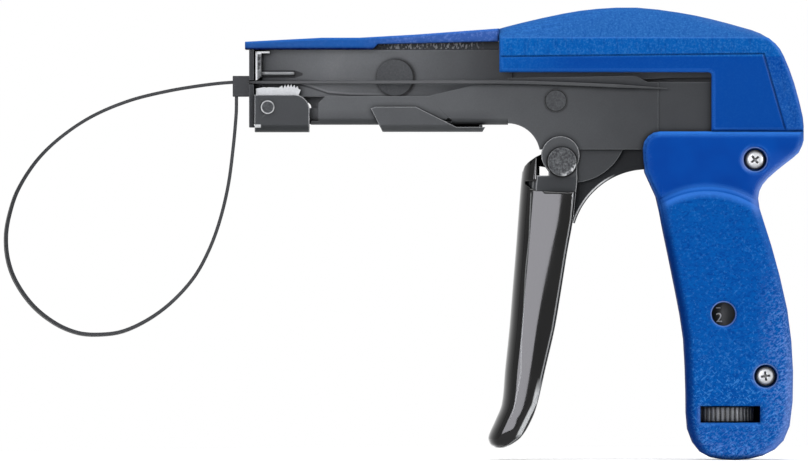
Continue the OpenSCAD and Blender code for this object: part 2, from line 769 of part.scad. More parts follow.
// Cut-away at the top of the sleeve, where the steel shows, and the slope of its front shoulder
shoulder_h = 9.3;
cutaway_shares = [
    [0.034, -0.645], [0.119, -0.839], [0.261, -0.935], [0.824, -1], [1.1, -0.94], [1.1, 0.6], [0.239, 0.6],
    [0.239, -0.591], [0.034, -0.591]
];
slope_shares = [
    [-0.2, -0.25], [-0.006, -0.258], [0.028, -0.075], [0.097, 0.065], [0.239, 0.258], [0.4, 0.4], [0.4, 0.6],
    [-0.2, 0.6]
];
module trigger_sleeve() color([0.06, 0.06, 0.07]) difference() {
    skin([for (l = levels) channel_ring(l, 0, sleeve_t)], top_plan);
    across(-grip_half, grip_half) {
        polygon(shaped([sleeve_x, sleeve_z], sleeve_depth, shoulder_h, cutaway_shares));
        polygon(shaped([sleeve_x, sleeve_z], sleeve_depth, shoulder_h, slope_shares));
    }
}

module link_pin() color([0.5, 0.5, 0.52]) pin(link_at, link_pin_r, -ear_out, ear_out);

// Push link between the trigger and the drive lever, bent round the finger gap
link_hub_r = 3.6;
link_eye_r = 4.6;
link_groove = 1.6;
link_web = 1.3;
bow_depth = 8;
bow_sag = 22.8;
bow_shift = 3.3;
bow_drop = 3;
link_way = unit(lever_link_at - link_at);
bow_at = (link_at + lever_link_at) / 2 - left_of(link_way) * bow_sag + link_way * bow_shift;
bow_r = norm(lever_link_at - bow_at) - bow_drop;
bow_angles = [84, 163];
groove_angles = [96, 152];
module sector(c, r, a0, a1) polygon(concat([c], arc(c, r, a0, a1, 4)));
module bowed(r0, r1, a) intersection() {
    difference() {
        translate(bow_at) circle(r1);
        translate(bow_at) circle(r0);
    }
    sector(bow_at, 2 * r1, a[0], a[1]);
}
module push_link() color([0.12, 0.12, 0.13]) difference() {
    union() {
        across(-link_half_w, link_half_w) {
            bowed(bow_r, bow_r + bow_depth, bow_angles);
            translate(lever_link_at) circle(link_eye_r);
        }
        pin(link_at, link_hub_r, running - ear_in, ear_in - running);
    }
    across(-link_groove, link_groove) bowed(bow_r + link_web, bow_r + bow_depth + over, groove_angles);
    pin(link_at, bore_r(link_pin_r), -half_w - over, half_w + over);
    pin(lever_link_at, link_pin_r + open_slack, -half_w, half_w);
}

// Drive lever: two cheeks and a web, turning on the fulcrum pin
lever_half_r = 3.6;
lever_out = lever_gap + cheek_t;
web_r = 1.2;
web_shares = [0.36, 0.6];
module drive_lever() color([0.33, 0.34, 0.35]) difference() {
    union() {
        for (y = [-lever_out, lever_gap]) across(y, y + cheek_t) {
            strap_link(fulcrum_at, pull_at, lever_half_r);
            strap_link(fulcrum_at, lever_link_at, lever_half_r);
            strap_link(lever_link_at, pull_at, lever_half_r);
        }
        for (y = [gap - wall_in, lever_gap])
            pin(fulcrum_at, lever_half_r, y, y + wall_in - gap - lever_gap);
        across(-lever_gap, lever_gap) strap_link(
            fulcrum_at + (lever_link_at - fulcrum_at) * web_shares[0],
            fulcrum_at + (lever_link_at - fulcrum_at) * web_shares[1],
            web_r
        );
    }
    pin(fulcrum_at, bore_r(link_pin_r), -half_w, half_w);
    for (at = [pull_at, lever_link_at]) pin(at, bore_r(link_pin_r), -half_w, half_w);
}

lever_head_r = 2.8;
module lever_pins() color([0.5, 0.5, 0.52])
    for (at = [pull_at, lever_link_at]) riveted_pin(at, link_pin_r, lever_head_r, lever_out, head_t);

// Pull bar in the barrel, from the pawl's pin back to the drive lever
bar_y0 = -1.1;
bar_y1 = bar_y0 + pull_bar_t;
bar_z0 = -11.9;
bar_z1 = -8.1;
bar_eye_r = 3.2;
bar_end_r = 4.4;
pull_lift = 0.5;
lug_x = 40;
lug_t = 2;
lug_y0 = bar_y1 + curved_gap;
lug_top = -7;
module pull_bar() color([0.36, 0.37, 0.38]) difference() {
    union() {
        across(bar_y0, bar_y1) {
            translate([pawl_at[0], bar_z0]) square([pull_at[0] - pawl_at[0], bar_z1 - bar_z0]);
            translate(pawl_at) circle(bar_eye_r);
            translate(pull_at) circle(bar_end_r);
        }
        block([lug_x, bar_y0, bar_z0], [lug_x + lug_t, wall_in - gap, lug_top]);
    }
    pin(pawl_at, bore_r(pawl_pin_r), bar_y0 - over, bar_y1 + over);
    across(bar_y0 - over, bar_y1 + over) {
        slot_r = link_pin_r + gap;
        strap_link(pull_at, pull_at + [0, pull_lift], slot_r);
    }
}

// Coil spring that sends the pull bar forward again
return_r = 1.5;
return_wire = 0.7;
return_turns = 12;
return_at = [4.2, -9.4];
module return_spring() color([0.7, 0.7, 0.72])
    translate([0, return_at[0], return_at[1]]) rotate([0, 90, 0])
        coil(return_r, return_wire, lug_x + lug_t, spring_tab_x, return_turns);

// U-shaped carrier of the pawl, straddling the barrel
carrier_x0 = 1.8;
carrier_top = -3.9;
carrier_z = -15.9;
carrier_bend = 2.5;
carrier_corner = 4.8;
carrier_x1 = carrier_x0 + carrier_l;
module carrier_outline() {
    translate([carrier_x0, carrier_z]) square([carrier_l, carrier_top - carrier_corner - carrier_z]);
    translate([carrier_x0, carrier_z]) square([carrier_l - carrier_corner, carrier_top - carrier_z]);
    translate([carrier_x1 - carrier_corner, carrier_top - carrier_corner]) circle(carrier_corner);
}
module pawl_carrier() color([0.25, 0.26, 0.27]) difference() {
    intersection() {
        along(carrier_x0, carrier_x1)
            u_section(carrier_out, carrier_z, carrier_top, carrier_sheet, carrier_bend);
        across(-carrier_out, carrier_out) carrier_outline();
    }
    pin(pawl_at, bore_r(pawl_pin_r), -carrier_out - over, carrier_out + over);
}

pawl_head_r = 2.2;
pawl_head_t = 0.5;
module pawl_pin() color([0.45, 0.46, 0.48])
    riveted_pin(pawl_at, pawl_pin_r, pawl_head_r, carrier_out, pawl_head_t);

// Toothed pawl that grips the strap from below
pawl_y = [-5.6, -1.4];
pawl_shares = [
    [0, 0.9], [0, 0.27], [0.12, 0.03], [0.5, 0], [0.68, 0.22], [0.9, 0.64], [0.98, 0.86], [0.86, 0.98]
];
pawl_size = [15, 10.4];
pawl_foot = -11.2;
pawl_front_top = -1.3;
pawl_x = 2.2;
tooth_lean = 0.7;
teeth_x = 10.8;
teeth_base = -1.1;
teeth_tip = -0.45;
module pawl() color([0.75, 0.76, 0.78]) difference() {
    across(pawl_y[0], pawl_y[1]) {
        polygon(concat(
            shaped([pawl_x, pawl_foot], pawl_size[0], pawl_size[1], pawl_shares),
            [[teeth_x + pawl_teeth * tooth_pitch, teeth_base]],
            [
                for (k = [pawl_teeth - 1 : -1 : 0])
                    each [
                        [teeth_x + (k + tooth_lean) * tooth_pitch, teeth_tip],
                        [teeth_x + k * tooth_pitch, teeth_base]
                    ]
            ],
            [[teeth_x - tooth_pitch, pawl_front_top]]
        ));
    }
    pin(pawl_at, bore_r(pawl_pin_r), -half_w, 0);
}

pawl_wire = 0.5;
module pawl_spring() color([0.7, 0.7, 0.72])
    translate([pawl_at[0], 0, pawl_at[1]]) rotate([90, 0, 0])
        coil(pawl_pin_r + running + pawl_wire, pawl_wire, -pawl_y[0] + gap, carrier_in - gap, 3);

// Cutter lever on the large pivot: its tip drives the blade, its tail is lifted by the yoke
tip_at = [3.3, 5.5];
tip_r = 1.4;
pivot_boss_r = 6;
lever_y = [1.4, 1.4 + cutter_lever_t];
tail_x = 157.6;
tail_z = [1.9, 6];
lever_low = [[9, 3.4], [26, 0.4], [62, -2.2], [96, -0.6], [136, 1.7]];
lever_high = [[140, 8.2], [100, 8.6], [62, 8.2], [30, 8.2], [9, 7.4]];
module cutter_lever() color([0.3, 0.29, 0.29]) difference() {
    union() {
        across(lever_y[0], lever_y[1]) {
            translate(tip_at) circle(tip_r);
            translate(cutter_at) circle(pivot_boss_r);
            polygon(concat(
                [tip_at - [0, tip_r]], lever_low, [[tail_x, tail_z[0]], [tail_x, tail_z[1]]], lever_high,
                [tip_at + [0, tip_r]]
            ));
        }
        pin(cutter_at, pivot_boss_r - over, guide_y1 + gap, wall_in - gap);
    }
    pin(cutter_at, bore_r(cutter_shank_r), 0, half_w);
}

// Blade that slides down behind the nose plate
blade_x = 2;
blade_z = [0.8, 10.1];
blade_y = [-6.2, 6.6];
blade_flange = 2.7;
blade_stroke = 1.6;
blade_bevel = 1.2;
rod_notch_r = guide_rod_r + gap / 2;
module cutter_blade() color([0.7, 0.71, 0.73]) difference() {
    union() {
        block([blade_x, blade_y[0], blade_z[0]], [blade_x + blade_t, blade_y[1], blade_z[1]]);
        block(
            [blade_x, blade_y[0], blade_z[1] - lip_t],
            [blade_x + blade_t + blade_flange, guide_y0 - curved_gap, blade_z[1]]
        );
    }
    block(
        [blade_x - over, lever_y[0] - gap, tip_at[1] - tip_r - gap],
        [blade_x + blade_t + over, lever_y[1] + gap, tip_at[1] + tip_r + gap]
    );
    block(
        [blade_x - over, tie_y - rod_notch_r, guide_rod_z - rod_notch_r],
        [blade_x + blade_t + over, tie_y + rod_notch_r, guide_rod_z + rod_notch_r + blade_stroke]
    );
    across(blade_y[0] - over, blade_y[1] + over) polygon([
        [blade_x + blade_t / 4, blade_z[0]], [blade_x + blade_t, blade_z[0] + blade_bevel],
        [blade_x + blade_t + over, blade_z[0] + blade_bevel], [blade_x + blade_t + over, blade_z[0] - over],
        [blade_x + blade_t / 4, blade_z[0] - over]
    ]);
}

// Seat that the tension spring pushes up against, fixed between the frame's legs
seat_x = [148.4, 158];
seat_boss_r = 4.6;
module spring_seat() color([0.33, 0.34, 0.35]) difference() {
    union() {
        block([seat_x[0], -wall_in, seat_z[1]], [seat_x[1], wall_in, seat_z[2]]);
        post(rod_x, seat_boss_r, seat_z[0], seat_z[1]);
    }
    post(rod_x, bore_r(rod_r), seat_z[0] - over, seat_z[2] + over);
}

// Tension sleeve: a cup round the spring, screwed on the rod, with the setting marks outside
cup_lift = 7.1;
cup_floor = 5;
cup_z = [slot_z[1] + cup_lift, slot_z[1] + cup_lift + cup_floor, cup_top];
cup_wall = 1.3;
key_half = 1.1;
key_x = 161.3;
key_short = 1.5;
module tension_sleeve() color([0.1, 0.1, 0.11]) difference() {
    union() {
        post(rod_x, sleeve_r, cup_z[0], cup_z[2]);
        block([rod_x, -key_half, cup_z[0]], [key_x, key_half, cup_top - key_short]);
    }
    post(rod_x, sleeve_r - cup_wall, cup_z[1], cup_z[2] + over);
    post(rod_x, bore_r(rod_r), cup_z[0] - over, cup_z[1] + over);
}

spring_r = sleeve_r - cup_wall - curved_gap * 2 - spring_wire / 2;
module tension_spring() color([0.7, 0.7, 0.72])
    translate([rod_x, 0, 0]) coil(spring_r, spring_wire, cup_z[1], seat_z[0], spring_turns);

// Tension rod: headed at the top, flat-sided at the foot where it slides through the knob
rod_head_r = 3.4;
rod_head_z = [-45, -43.5];
rod_flat_lift = 3.1;
rod_flat_z = slot_z[1] + rod_flat_lift;
rod_foot_drop = 4.5;
rod_foot_z = slot_z[0] - rod_foot_drop;
rod_flat = 1.6;
module flat_sided(r, flat) intersection() {
    circle(r);
    square([2 * flat, 2 * r], center = true);
}
module tension_rod() color([0.6, 0.6, 0.62]) {
    post(rod_x, rod_head_r, rod_head_z[0], rod_head_z[1]);
    post(rod_x, rod_r, rod_flat_z, rod_head_z[0]);
    translate([rod_x, 0, rod_foot_z])
        linear_extrude(height = rod_flat_z - rod_foot_z) flat_sided(rod_r, rod_flat);
}

// Knurled knob seen through the slots of the handle
groove_r = 0.45;
knob_z = (slot_z[0] + slot_z[1] - knob_h) / 2;
module tension_knob() color([0.07, 0.07, 0.07])
    translate([rod_x, 0, knob_z]) linear_extrude(height = knob_h) difference() {
        circle(knob_r);
        for (k = [0 : knob_grooves - 1])
            rotate(360 * k / knob_grooves) translate([knob_r, 0]) circle(groove_r, $fn = 6);
        flat_sided(rod_r + gap / 2, rod_flat + gap / 2);
    }

// Yoke that carries the rod and lifts the tail of the cutter lever when the set force is passed
yoke_x = [149.4, 157.4];
yoke_z = [-48.5, -40.5];
yoke_floor = 3.2;
yoke_roof = 2.7;
stem_x = [154, 158];
stem_half = 2.6;
yoke_top = 1.6;
yoke_head = 2.6;
module trip_yoke() color([0.34, 0.34, 0.35]) difference() {
    union() {
        block([yoke_x[0], gap - wall_in, yoke_z[0]], [yoke_x[1], wall_in - gap, yoke_z[1]]);
        block([stem_x[0], -stem_half, yoke_z[1]], [stem_x[1], stem_half, yoke_top]);
        block([stem_x[0], -stem_half, yoke_top - yoke_head], [stem_x[1], lever_y[1], yoke_top]);
    }
    keyhole(rod_r + curved_gap, yoke_z[0] - over, yoke_z[0] + yoke_floor + over);
    keyhole(rod_head_r + curved_gap, yoke_z[0] + yoke_floor, yoke_z[1] - yoke_roof);
}
module keyhole(r, z0, z1) {
    post(rod_x, r, z0, z1);
    block([rod_x, -r, z0], [yoke_x[1] + over, r, z1]);
}

// Cable tie held by the tool
head_size = [5.3, 6.3, 6.7];
head_top = 2.2;
head_slack = 0.1;
module tie_head() color([0.13, 0.13, 0.14]) difference() {
    block(
        [-head_size[0], tie_y - head_size[1] / 2, head_top - head_size[2]],
        [0, tie_y + head_size[1] / 2, head_top]
    );
    block(
        [-head_size[0] - over, tie_y - tie_w / 2 - head_slack, tie_z - tie_t / 2 - head_slack],
        [over, tie_y + tie_w / 2 + head_slack, tie_z + tie_t / 2 + head_slack]
    );
}

// Middle line of the strap, from the foot of the head round the loop and back along the barrel
strap_route = [
    [-4.1, -3.4, -4.5], [-4.2, -3.4, -10], [-5.2, -3.4, -21.2], [-6.8, -3.4, -33.2], [-9.5, -3.4, -44.5],
    [-13, -3.4, -54], [-17.8, -3.4, -62.7], [-25, -3.4, -70.7], [-32.7, -3.4, -76.4], [-41, -3.4, -80.2],
    [-48.8, -3.4, -81.2], [-55.4, -3.4, -80.6], [-62.5, -3.4, -77.6], [-69.7, -3.4, -71.9],
    [-75.4, -3.4, -64.2], [-78.1, -3.4, -57], [-78.7, -3.4, -49.3], [-77.5, -3.4, -42.1],
    [-74.5, -3.4, -34.4], [-68.5, -3.4, -25.1], [-60.8, -3.4, -17.6], [-50.6, -3.4, -10.8],
    [-38.7, -3.4, -5.8], [-26.8, -3.4, -2.8], [-14.8, -3.4, -0.8], [-5.3, -3.4, 0.15], [4, -3.4, 0.15],
    [12, -3.6, 0.15], [40, -6.6, 0.15], [72, -10, 0.15], [90, -10, 0], [112, -10, -0.8], [134.7, -10, -1.9]
];
strap_ring_steps = 2;
strap_line = concat(smooth(strap_route, strap_ring_steps), [last(strap_route)]);
function strap_normal(i) = let (
        t = point_at(strap_line, i + 1) - point_at(strap_line, i - 1),
        n = unit([-t[2], t[0]])
    ) [n[0], 0, n[1]];
function strap_ring(i) = let (p = strap_line[i], n = strap_normal(i) * tie_t / 2, w = [0, tie_w / 2, 0]) [
    p - n - w, p + n - w, p + n + w, p - n + w
];
module tie_strap() color([0.13, 0.13, 0.14])
    skin([for (i = [0 : len(strap_line) - 1]) strap_ring(i)], side_plan);

frame_channel();
nose_plate();
tie_guide_plate();
guide_rod();
saddle_clip();
trigger_bracket();
barrel_strip();
top_cover();
grip_left();
grip_right();
grip_screws();
cutter_pivot_pin();
frame_rivet();
trigger_pin();
fulcrum_pin();
spring_seat();
return_spring();
trigger_arm();
trigger_sleeve();
link_pin();
push_link();
drive_lever();
lever_pins();
pull_bar();
pawl_carrier();
pawl_pin();
pawl();
pawl_spring();
cutter_lever();
cutter_blade();
trip_yoke();
tension_rod();
tension_sleeve();
tension_spring();
tension_knob();
tie_head();
tie_strap();
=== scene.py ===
import math

import bmesh
import bpy
from mathutils import Matrix, Vector


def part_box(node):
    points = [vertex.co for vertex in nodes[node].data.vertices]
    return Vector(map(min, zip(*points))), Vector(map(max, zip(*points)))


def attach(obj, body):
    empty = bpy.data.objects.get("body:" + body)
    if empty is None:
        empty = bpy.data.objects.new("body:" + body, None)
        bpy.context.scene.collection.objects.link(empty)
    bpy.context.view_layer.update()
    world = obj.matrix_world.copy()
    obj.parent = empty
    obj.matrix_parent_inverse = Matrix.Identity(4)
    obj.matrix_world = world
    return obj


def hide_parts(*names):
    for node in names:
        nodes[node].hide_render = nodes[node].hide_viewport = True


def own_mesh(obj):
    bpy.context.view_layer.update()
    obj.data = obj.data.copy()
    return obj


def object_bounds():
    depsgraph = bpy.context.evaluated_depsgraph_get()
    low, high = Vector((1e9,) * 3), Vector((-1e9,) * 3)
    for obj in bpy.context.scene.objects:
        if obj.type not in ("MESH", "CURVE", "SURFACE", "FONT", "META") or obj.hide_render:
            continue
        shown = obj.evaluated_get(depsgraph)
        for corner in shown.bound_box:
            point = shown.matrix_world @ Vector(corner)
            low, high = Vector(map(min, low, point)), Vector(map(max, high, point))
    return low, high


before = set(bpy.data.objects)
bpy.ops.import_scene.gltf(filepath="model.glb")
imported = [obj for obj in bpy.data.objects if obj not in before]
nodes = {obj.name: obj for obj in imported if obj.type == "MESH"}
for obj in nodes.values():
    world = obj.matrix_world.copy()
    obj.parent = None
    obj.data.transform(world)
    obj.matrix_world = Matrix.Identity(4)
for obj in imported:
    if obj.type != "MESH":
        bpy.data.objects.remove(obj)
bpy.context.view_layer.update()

# Lengths are written in mm, in the part's frame: X from the nose to the heel, Y away from the camera, Z up
MM = 0.001
PER_M = 1 / MM

# Places in the side view, as (x, z), that materials and pieces share
PAWL_PIN = (6, -7.9)
CUTTER_PIVOT = (46.9, 1.7)
RIVET = (98.8, -5.8)
TRIGGER_PIN = (100.8, -25.5)
BOW = (128.53, -52.52)
PALM, PALM_R = (147.5, -63.3), 28.4
WINDOW = (152.7, -74.5)
KNOB_X = 153.3
SCREWS = ((162.9, -24.8, 38), (166.3, -94.5, 8))  # x, z and the turn of the cross in degrees


# Materials


def put(tree, socket, value):
    """Links an output to the socket, or sets the socket to a number, a vector or a colour."""
    if hasattr(value, "node"):
        tree.links.new(value, socket)
    elif socket.type == "RGBA":
        socket.default_value = (*value, 1)
    else:
        socket.default_value = value


def add(tree, kind, inputs=(), **values):
    """A node with its values, and its inputs by name or number."""
    node = tree.nodes.new(kind)
    for key, value in values.items():
        setattr(node, key, value)
    for key, value in dict(inputs).items():
        put(tree, node.inputs[key], value)
    return node


class Nodes:
    """The node tree of one material, with the place in mm as x, y and z."""

    def __init__(self, name):
        self.mat = bpy.data.materials.new(name)
        self.mat.use_nodes = True
        self.tree = self.mat.node_tree
        self.tree.nodes.clear()
        self.bsdf = self.add("ShaderNodeBsdfPrincipled")
        self.add("ShaderNodeOutputMaterial", {0: self.bsdf.outputs[0]})
        self.place = self.add("ShaderNodeTexCoord").outputs["Object"]
        parts = self.add("ShaderNodeSeparateXYZ", {0: self.place}).outputs
        self.x, self.y, self.z = (self.calc("MULTIPLY", part, PER_M) for part in parts)
        self.normal = None

    def add(self, kind, inputs=(), **values):
        return add(self.tree, kind, inputs, **values)

    def set(self, color, rough, spec, metal=0.0):
        values = {"Base Color": color, "Roughness": rough, "Specular IOR Level": spec, "Metallic": metal}
        for key, value in values.items():
            put(self.tree, self.bsdf.inputs[key], value)

    def calc(self, operation, *values):
        return self.add("ShaderNodeMath", enumerate(values), operation=operation).outputs[0]

    def times(self, first, *others):
        for other in others:
            first = self.calc("MULTIPLY", first, other)
        return first

    def most(self, first, *others):
        for other in others:
            first = self.calc("MAXIMUM", first, other)
        return first

    def linear(self, value, slope, start):
        return self.calc("ADD", self.times(value, slope), start)

    def fit(self, value, a, b, low=0.0, high=1.0):
        """low at a and beyond, high at b and beyond."""
        inputs = {"Value": value, "From Min": a, "From Max": b, "To Min": low, "To Max": high}
        return self.add("ShaderNodeMapRange", inputs).outputs[0]

    def band(self, value, a, b, c, d):
        """1 between b and c, running out to 0 at a and d."""
        return self.times(self.fit(value, a, b), self.fit(value, d, c))

    def ramp(self, value, *stops):
        node = self.add("ShaderNodeValToRGB", {0: value})
        bar = node.color_ramp
        while len(bar.elements) < len(stops):
            bar.elements.new(0.5)
        for item, (at, tone) in zip(bar.elements, stops):
            item.position = at
            item.color = (*tone, 1) if isinstance(tone, tuple) else (tone, tone, tone, 1)
        return node.outputs[0]

    def mix(self, share, a, b, how="MIX"):
        return self.add("ShaderNodeMix", {0: share, 6: a, 7: b}, data_type="RGBA", blend_type=how).outputs[2]

    def noise(self, scale, detail, rough, stretch=None, distort=0.0):
        inputs = {"Scale": scale, "Detail": detail, "Roughness": rough, "Distortion": distort}
        return self.add("ShaderNodeTexNoise", {**inputs, "Vector": self.stretched(stretch)}).outputs["Fac"]

    def cells(self, scale, smooth):
        inputs = {"Scale": scale, "Smoothness": smooth, "Vector": self.place}
        return self.add("ShaderNodeTexVoronoi", inputs, feature="SMOOTH_F1").outputs["Distance"]

    def stretched(self, factors):
        """The place scaled along X, Y and Z, after a turn in the side view where a fourth number gives degrees."""
        if factors is None:
            return self.place
        place = self.place
        if len(factors) == 4:
            turn = (0, math.radians(factors[3]), 0)
            place = self.add("ShaderNodeMapping", {0: place, "Rotation": turn}).outputs[0]
        return self.add("ShaderNodeMapping", {0: place, "Scale": factors[:3]}).outputs[0]

    def length(self, a, b):
        return self.calc("SQRT", self.calc("ADD", self.times(a, a), self.times(b, b)))

    def away(self, x, z):
        """Distance in mm from a point of the side view."""
        return self.length(self.calc("SUBTRACT", self.x, x), self.calc("SUBTRACT", self.z, z))

    def bump(self, height, strength, depth):
        inputs = {"Strength": strength, "Distance": depth, "Height": height}
        if self.normal is not None:
            inputs["Normal"] = self.normal
        self.normal = self.add("ShaderNodeBump", inputs).outputs[0]
        put(self.tree, self.bsdf.inputs["Normal"], self.normal)

    def bevelled(self, radius):
        """The normal with the edges rounded off, and how near it stays to the true one."""
        bent = self.add("ShaderNodeBevel", {"Radius": radius * MM}, samples=4).outputs[0]
        true = self.add("ShaderNodeNewGeometry").outputs["True Normal"]
        level = self.add("ShaderNodeVectorMath", {0: bent, 1: true}, operation="DOT_PRODUCT")
        return bent, level.outputs["Value"]

    def rim_highlight(self, width):
        """1 along the edges of a piece, 0 on its faces; it places a painted highlight."""
        return self.fit(self.bevelled(width)[1], 0.997, 0.93)

    def rounded(self, radius):
        """Rounds the edges off in the shading; gives how far they face right and up, and their nearness to level."""
        self.normal, level = self.bevelled(radius)
        facing = self.add("ShaderNodeSeparateXYZ", {0: self.normal}).outputs
        return facing[0], facing[2], level

    def open_air(self, reach, low):
        """1 on open faces, falling to low in corners and beside taller pieces; it scales painted shade."""
        near = self.add("ShaderNodeAmbientOcclusion", {"Distance": reach * MM}, samples=6)
        return self.fit(near.outputs["AO"], 0.45, 0.95, low, 1)


def decode(v):
    """Linear value of an sRGB value from 0 to 255."""
    return v / 255 / 12.92 if v <= 10 else ((v / 255 + 0.055) / 1.055) ** 2.4


def srgb(*values):
    return tuple(decode(v) for v in values)


def grey(v, warm=0):
    """Linear colour of a steel face that is to be seen as grey v in the studio light."""
    return tuple(max(0.002, (c - 0.012) / 1.25) for c in srgb(v - 1 + warm, v + 1, v + 3 - warm))


def blue(*values):
    """Linear colour of a blue moulding that is to be seen as these sRGB values in the studio light."""
    return tuple(max(0.001, (c - 0.006) / 1.16) for c in srgb(*values))


def tone_of(m, tone):
    """A tone is one colour, or a function of the node tree that gives one."""
    return tone(m) if callable(tone) else tone


def steel(name, tone, rim_highlight=150, share=0.6, corner_shade=0.3, rough=(0.38, 0.5), metal=0.12, spec=0.14, width=0.3):
    """Blackened or plated steel, with a painted highlight of a grey along its edges and painted shade in its corners.
    """
    m = Nodes(name)
    cloud = m.noise(60, 3, 0.6)
    fine = m.noise(2600, 2, 0.6)
    color = tone_of(m, tone)
    for amount, a, b in ((m.fit(cloud, 0.3, 0.7), 0.9, 1.08), (m.fit(fine, 0.35, 0.75), 0.94, 1.12)):
        color = m.mix(1, color, m.mix(amount, (a, a, a), (b, b, b)), "MULTIPLY")
    # Painted highlight along the edges
    color = m.mix(m.times(m.rim_highlight(width), share), color, grey(rim_highlight))
    # Painted shade in corners and beside taller pieces, which also dims the gloss there
    shade = m.open_air(1.8, corner_shade)
    m.set(m.mix(1, color, shade, "MULTIPLY"), m.fit(fine, 0.3, 0.7, *rough), m.times(shade, spec), metal)
    m.bump(fine, 0.12, 0.00003)
    return m


def plastic(name, tone, pale, rough=0.45, pits=0.35, spec=0.5):
    """A moulding with a paler grain and clouds."""
    m = Nodes(name)
    grain = m.noise(1500, 3, 0.65)
    cloud = m.noise(60, 2, 0.5)
    color = m.mix(m.fit(grain, 0.5, 0.8, 0, 0.5), tone_of(m, tone), pale)
    color = m.mix(m.fit(cloud, 0.35, 0.7, 0, 0.25), color, pale)
    m.set(color, m.fit(grain, 0.3, 0.7, rough - 0.05, rough + 0.08), spec)
    m.bump(grain, pits, 0.00005)
    return m


def channel_tone(m):
    """Side plate and lower barrel on the near side, the barrel's far wall behind."""
    plate = m.ramp(m.fit(m.x, 66, 150), (0, grey(84)), (0.3, grey(73)), (0.62, grey(64)), (1, grey(56)))
    inner = m.mix(m.fit(m.x, 60, 90), grey(96), grey(78))
    tone = m.mix(m.fit(m.y, -2, 2), plate, inner)
    low = m.times(m.fit(m.z, -8.6, -11.5), m.fit(m.x, 80, 76))
    tone = m.mix(m.times(low, 0.55), tone, grey(58))
    spots = m.fit(m.noise(1300, 3, 0.7, (1, 1, 0.5)), 0.52, 0.57)
    specks = m.times(m.fit(m.z, 10.9, 11.1), spots, m.fit(m.x, 76, 70), m.fit(m.y, 7.6, 7.2))
    tone = m.mix(specks, tone, grey(205))
    # Painted shade in the slot from x 125.6 back and above z 1.6, in a warm dark grey
    slot = m.times(m.fit(m.x, 125.6, 126.6), m.fit(m.z, 1.6, 2.1))
    return m.mix(slot, tone, grey(50, 5))


def carrier_tone(m):
    """A bright tab at the lower left corner."""
    tab = m.band(m.z, -14.55, -14.4, -13.6, -13.4)
    return m.mix(m.times(tab, m.fit(m.x, 3.9, 3.6)), grey(60), grey(220))


def arm_tone(m):
    """A painted shadow line round the trigger pin's head, stronger below it, and a darker web below it on the near
    side.
    """
    # Painted shadow line round the trigger pin's head, stronger below it
    line = m.times(m.fit(m.away(*TRIGGER_PIN), 5.3, 5.0), m.fit(m.z, -20, -25, 0.4, 0.9))
    web = m.times(m.fit(m.z, -29.6, -30.6), m.fit(m.y, 0, -1))
    return m.mix(line, m.mix(web, grey(72), grey(52)), grey(24))


def guide_tone(m):
    """Wall behind the barrel, darker at its front end in painted shadow of the nose: a curved lip that runs down
    behind the pawl, drawn as a painted shade line with a painted highlight above it, and a painted shadow round the
    guide rod.
    """
    # Darker at the front end: painted shadow of the nose
    tone = m.ramp(m.fit(m.x, 4, 80), (0, grey(62)), (0.08, grey(84)), (0.3, grey(104)), (0.6, grey(94)), (1, grey(66)))
    curve = m.ramp(m.fit(m.x, 15, 50), (0, 0.94), (0.14, 0.64), (0.3, 0.2), (0.5, 0.06), (1, 0.0))
    above = m.calc("SUBTRACT", m.z, m.linear(curve, 4.3, -4.35))
    inside = m.band(m.x, 15, 16, 36, 46)
    # The lip's edge as a painted shade line
    line = m.band(above, -0.35, -0.15, 0.15, 0.35)
    tone = m.mix(m.times(line, m.times(inside, 0.8)), tone, grey(34))
    # Painted shadow on the wall round the guide rod
    rod_shadow = m.calc("ABSOLUTE", m.calc("SUBTRACT", m.z, 2.8))
    rod_shadow = m.calc("ADD", rod_shadow, m.fit(m.x, 14.5, 17.5))
    rod_shadow = m.times(m.fit(rod_shadow, 1.4, 1.15), m.fit(m.x, 17.5, 17))
    tone = m.mix(m.times(rod_shadow, 0.85), tone, grey(30))
    # Painted highlight just above the lip's edge
    glint = m.band(above, 0.35, 0.5, 0.7, 1.1)
    return m.mix(m.times(glint, m.times(inside, 0.45)), tone, grey(140))


def lever_tone(m):
    """Lighter in the middle of its length."""
    return m.ramp(m.fit(m.x, 10, 75), (0, grey(96)), (0.3, grey(106)), (0.7, grey(98)), (1, grey(84)))


def blade_tone(m):
    """Mottled, with a bright top and front edge."""
    face = m.mix(m.fit(m.noise(900, 2, 0.6), 0.4, 0.62), grey(58), grey(128))
    return m.mix(m.most(m.fit(m.z, 9.1, 9.3), m.fit(m.x, 2.75, 2.5)), face, grey(238))


def link_tone(m):
    """Dark, with a thin bright line just inside the lower edge of the bow."""
    line = m.band(m.away(*BOW), 24.9, 25.05, 25.3, 25.5)
    return m.mix(m.times(line, m.fit(m.x, 118, 114)), grey(38), grey(225))


def rod_tone(m):
    """Painted highlight along the crest, painted shade below."""
    return m.ramp(m.fit(m.z, 2.2, 3.6), (0, grey(26)), (0.12, grey(34)), (0.24, grey(112)), (0.58, grey(128)),
                  (0.7, grey(215)), (0.88, grey(200)), (1, grey(50)))


def spotted(m, v, low):
    """Grey v with darker spots, down to its share low."""
    return m.mix(m.fit(m.noise(1300, 3, 0.7), 0.38, 0.68), grey(v * low), grey(v * 1.12))


def pivot_tone(m):
    """The pivot's large flat head and the rivet, each inside a painted shadow line."""
    # Painted shadow lines round the pivot's head and the rivet
    pivot = m.mix(m.fit(m.away(*CUTTER_PIVOT), 5.75, 5.9), spotted(m, 70, 0.97), grey(16))
    rivet = m.mix(m.fit(m.away(*RIVET), 3.2, 3.35), spotted(m, 66, 0.9), grey(24))
    return m.mix(m.fit(m.x, 70, 71), pivot, rivet)


